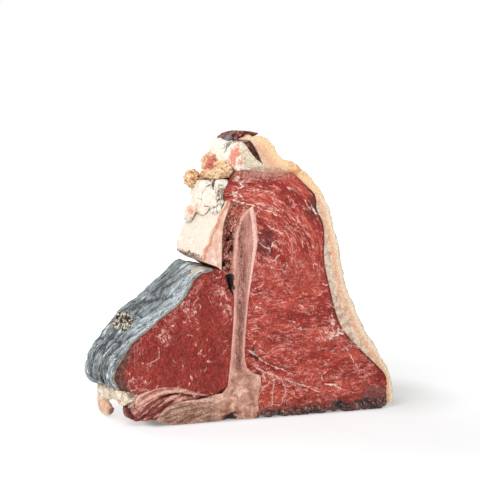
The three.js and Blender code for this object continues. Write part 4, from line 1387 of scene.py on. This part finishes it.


# in these looks, the hollowShade spots are painted shadows in hollows, and the gap spots paint the creases dark as
# their shade
lumps = [
    ("kidney_fat_blocks", "kidney_fat_middle", {
        "size": 5.0, "deep": (232, 208, 186), "middle": (244, 236, 222), "pale": (250, 245, 234),
        "rough": 0.6, "bump": 0.9, "tooth": 0.05, "crease": (15.0, 2.0), "smoothing": 3,
        "spots": [("gap", (150, 112, 84), 0.9), ("stain", (126, 104, 76), 0.85, 1.6),
                  ("pinkBit", (222, 150, 124), 0.8), ("hollowShade", (70, 30, 16), 0.97)],
        "blotches": [((214, 180, 152), (4.0, 4.0, 3.0), 0.58, 0.66, 0.7)],
        "pushes": [((-38.0, 2.0, 143.5, 9.0), (-2.5, 0.0, 0.0)), ((-38.0, 10.0, 155.0, 6.0), (-1.5, 0.0, 0.0))],
    }, (0.6, 5.0, 3), {
        "stain": (-24.0, -24.0, 157.0, 4.5), "pinkBit": (-38.0, 2.0, 143.5, 7.0),
        "hollowShade": (-27.0, -14.0, 164.0, 4.6),
    }),
    ("kidney_fat_fringe", "kidney_fat_upper", {
        "size": (4.0, 4.0, 2.0), "deep": (206, 142, 86), "middle": (240, 200, 150), "pale": (253, 242, 216),
        "pushes": [((-31.0, 14.0, 166.0, 9.0), (-1.0, 0.0, -2.4))],
        "rough": 0.5, "bump": 1.1, "tooth": 0.1, "crease": (7.0, 1.1), "smoothing": 2,
        "spots": [("orange", (230, 164, 108), 0.7), ("gap", (150, 92, 46), 0.7), ("meatBit", (212, 112, 102), 0.9),
                  ("hollowShade", (58, 24, 12), 0.97)],
        "blotches": [((252, 244, 226), (3.0, 3.0, 2.0), 0.53, 0.62, 0.8),
                     ((168, 96, 52), (3.4, 3.4, 2.4), 0.59, 0.68, 0.75)],
    }, (2.2, (3.6, 3.6, 2.0), 4), {
        "orange": (-31.0, 14.0, 166.0, 6.0), "meatBit": (-23.5, 4.0, 177.5, 9.0),
        "hollowShade": (-27.0, -6.0, 160.5, 5.0),
    }),
    ("cheek_fat_lip", "cheek_fat", {
        "size": (5.0, 5.0, 4.0), "deep": (182, 148, 122), "middle": (232, 212, 188), "pale": (252, 242, 226),
        "pushes": [((-98.0, 18.0, 20.0, 9.0), (-3.0, 0.0, -1.0))],
        "rough": 0.36, "bump": 0.6, "tooth": 0.08, "crease": (8.0, 0.5),
        "spots": [("gap", (150, 112, 84), 0.4), ("nub", (226, 160, 128), 0.95, 0.15),
                  # nubFootAndShade: the nub's orange-brown foot, darkened as painted shade in the hollow between nub
                  # and lip
                  ("nubFootAndShade", (132, 66, 34), 0.85, 0.4), ("brown", (104, 68, 42), 0.8)],
        "lines": [((252, 242, 224), (6.0, 6.0, 3.0), 0.07, 0.55, 0.8)],
    }, (0.5, 3.2, 3), {
        "nub": (-94.5, 17.0, 9.0, 7.0), "nubFootAndShade": (-89.5, 12.0, 3.0, 5.0), "brown": (-88.0, -24.0, 23.0, 3.4),
    }),
    ("flank_flap", "flank_meat", {
        "size": (3.0, 4.0, 2.0), "deep": (56, 14, 10), "middle": (118, 54, 46), "pale": (200, 142, 130),
        "rough": 0.4, "bump": 0.9, "tooth": 0.2, "smoothing": 3,
        "lines": [((222, 170, 156), (5.0, 5.0, 3.0), 0.05, 0.5, 0.7)],
        "spots": [("slit", (54, 14, 10), 0.8), ("hollowShade", (118, 126, 132), 0.9)],
    }, (0.7, 2.4, 4), {"hollowShade": (-11.0, 2.0, 191.5, 6.0), "slit": (1.0, -25.0, 183.0, 9.0)}),
    ("fold_meat_membranes", "fold_meat", {
        "size": (9.0, 5.0, 1.8), "deep": (84, 20, 18), "middle": (158, 80, 70), "pale": (230, 164, 148),
        "rough": 0.42, "bump": 1.0, "twist": 0.4, "strands": True,
        "lines": [((72, 12, 12), (9.0, 5.0, 2.4), 0.05, 0.5, 0.7),
                  ((248, 204, 188), (9.0, 5.0, 2.2), 0.05, 0.45, 0.6)],
        # the dark strokes are partly the tissue's dark red and partly painted shade in the gaps between strands
        "strokes": [("strand", (244, 188, 170)), ("dark", (88, 14, 16))],
        "spots": [("greyCream", (190, 172, 156), 0.85)],
    }, (0.5, 3.0, 3), {"greyCream": (-84.5, -24.0, 16.0, 5.5)}),
]


# The table, the light and the camera

stageLook = {
    "floorHalf": 6.0, "floor": 0.45, "floorGlow": 0.59, "farGlow": 1.05, "seenWhite": 1.0, "skyLight": 0.42,
    "footMiddle": (12.0, 2.0, 0.0), "footHalf": (80.0, 22.0, 1.0), "footReach": 12.0, "footShade": 0.6,
    "shade": 0.25, "shadePlace": (122.0, 22.0, 0.0), "shadeSize": (66.0, 90.0, 1.0),
    "lights": {"key": ((-0.75, -0.8, 1.1), 0.7, 14.5), "back": ((-0.5, 0.8, 0.9), 0.6, 5.0)},
    "lightTarget": (0.0, 0.0, 0.09),
}
view = {"target": (-0.0013, 0.0, 0.122), "distance": 1.0, "azimuth": -20.0, "elevation": 5.5, "lens": 107.14}


def makeTable():
    look, half = stageLook, stageLook["floorHalf"]
    mesh = bpy.data.meshes.new("floor")
    mesh.from_pydata([(-half, -half, 0), (half, -half, 0), (half, half, 0), (-half, half, 0)], [], [(0, 1, 2, 3)])
    floor = newObject("floor", mesh)
    mesh.materials.append(newMaterial("white_table"))
    place = placeOf()
    # the table glows a little near the steak and fully far away, so that it meets the white behind it
    far = between(lengthOf(place), 160.0, 700.0)
    glow = far * (look["farGlow"] - look["floorGlow"]) + look["floorGlow"]
    # and less behind the steak's right foot: a painted shadow
    off = stretched(vectors("SUBTRACT", place, look["shadePlace"]), look["shadeSize"])
    glow = glow - between(lengthOf(off), 0.1, 1.0, look["shade"], 0.0)
    # and a painted contact shadow next to the steak's foot, whose distance is that to a rectangle
    off = vectors("SUBTRACT", vectors("ABSOLUTE", vectors("SUBTRACT", place, look["footMiddle"])), look["footHalf"])
    off = vectors("MAXIMUM", off, (0.0, 0.0, 0.0))
    lit = between(lengthOf(off), 0.0, look["footReach"], 1 - look["footShade"], 1.0)
    useShader({"Base Color": grey(lit * look["floor"]), "Roughness": 0.9, "Specular IOR Level": 0.0,
               "Emission Color": (255, 255, 255), "Emission Strength": glow * lit})


def makeLight():
    world = bpy.data.worlds.new("studio")
    world.use_nodes = True
    canvas["tree"] = world.node_tree
    background = world.node_tree.nodes["Background"].inputs
    seen, dim = addNode("LightPath", {}, "Is Camera Ray"), stageLook["skyLight"]
    plug(background["Strength"], seen * (stageLook["seenWhite"] - dim) + dim)
    plug(background["Color"], (255, 255, 255))
    bpy.context.scene.world = world
    bpy.context.scene.view_settings.view_transform = "Standard"
    for name, (place, size, power) in stageLook["lights"].items():
        lamp = bpy.data.lights.new(name, "AREA")
        lamp.size, lamp.energy = size, power
        light = newObject(name, lamp)
        light.location = place
        light.rotation_euler = (Vector(stageLook["lightTarget"]) - Vector(place)).to_track_quat("-Z", "Y").to_euler()
    print("steak: table and light done")


def makeCamera():
    azimuth, elevation = math.radians(view["azimuth"]), math.radians(view["elevation"])
    back = Vector((math.sin(azimuth) * math.cos(elevation), -math.cos(azimuth) * math.cos(elevation),
                   math.sin(elevation)))
    camera = newObject("camera", bpy.data.cameras.new("camera"))
    camera.data.lens = view["lens"]
    camera.data.clip_start = 0.01
    camera.location = Vector(view["target"]) + back * view["distance"]
    camera.rotation_euler = (-back).to_track_quat("-Z", "Y").to_euler()
    bpy.context.scene.camera = camera


makeCamera()
makeTable()
makeLight()
for make in (makeTenderloin, makeLoin, makeChain, makeBone, makeCap, makeKidneyFatLower, makeSeamMeat, makeFoldFat):
    make()
for order, lump in enumerate(lumps):
    makeLump(*lump, seed=90 + 7 * order)
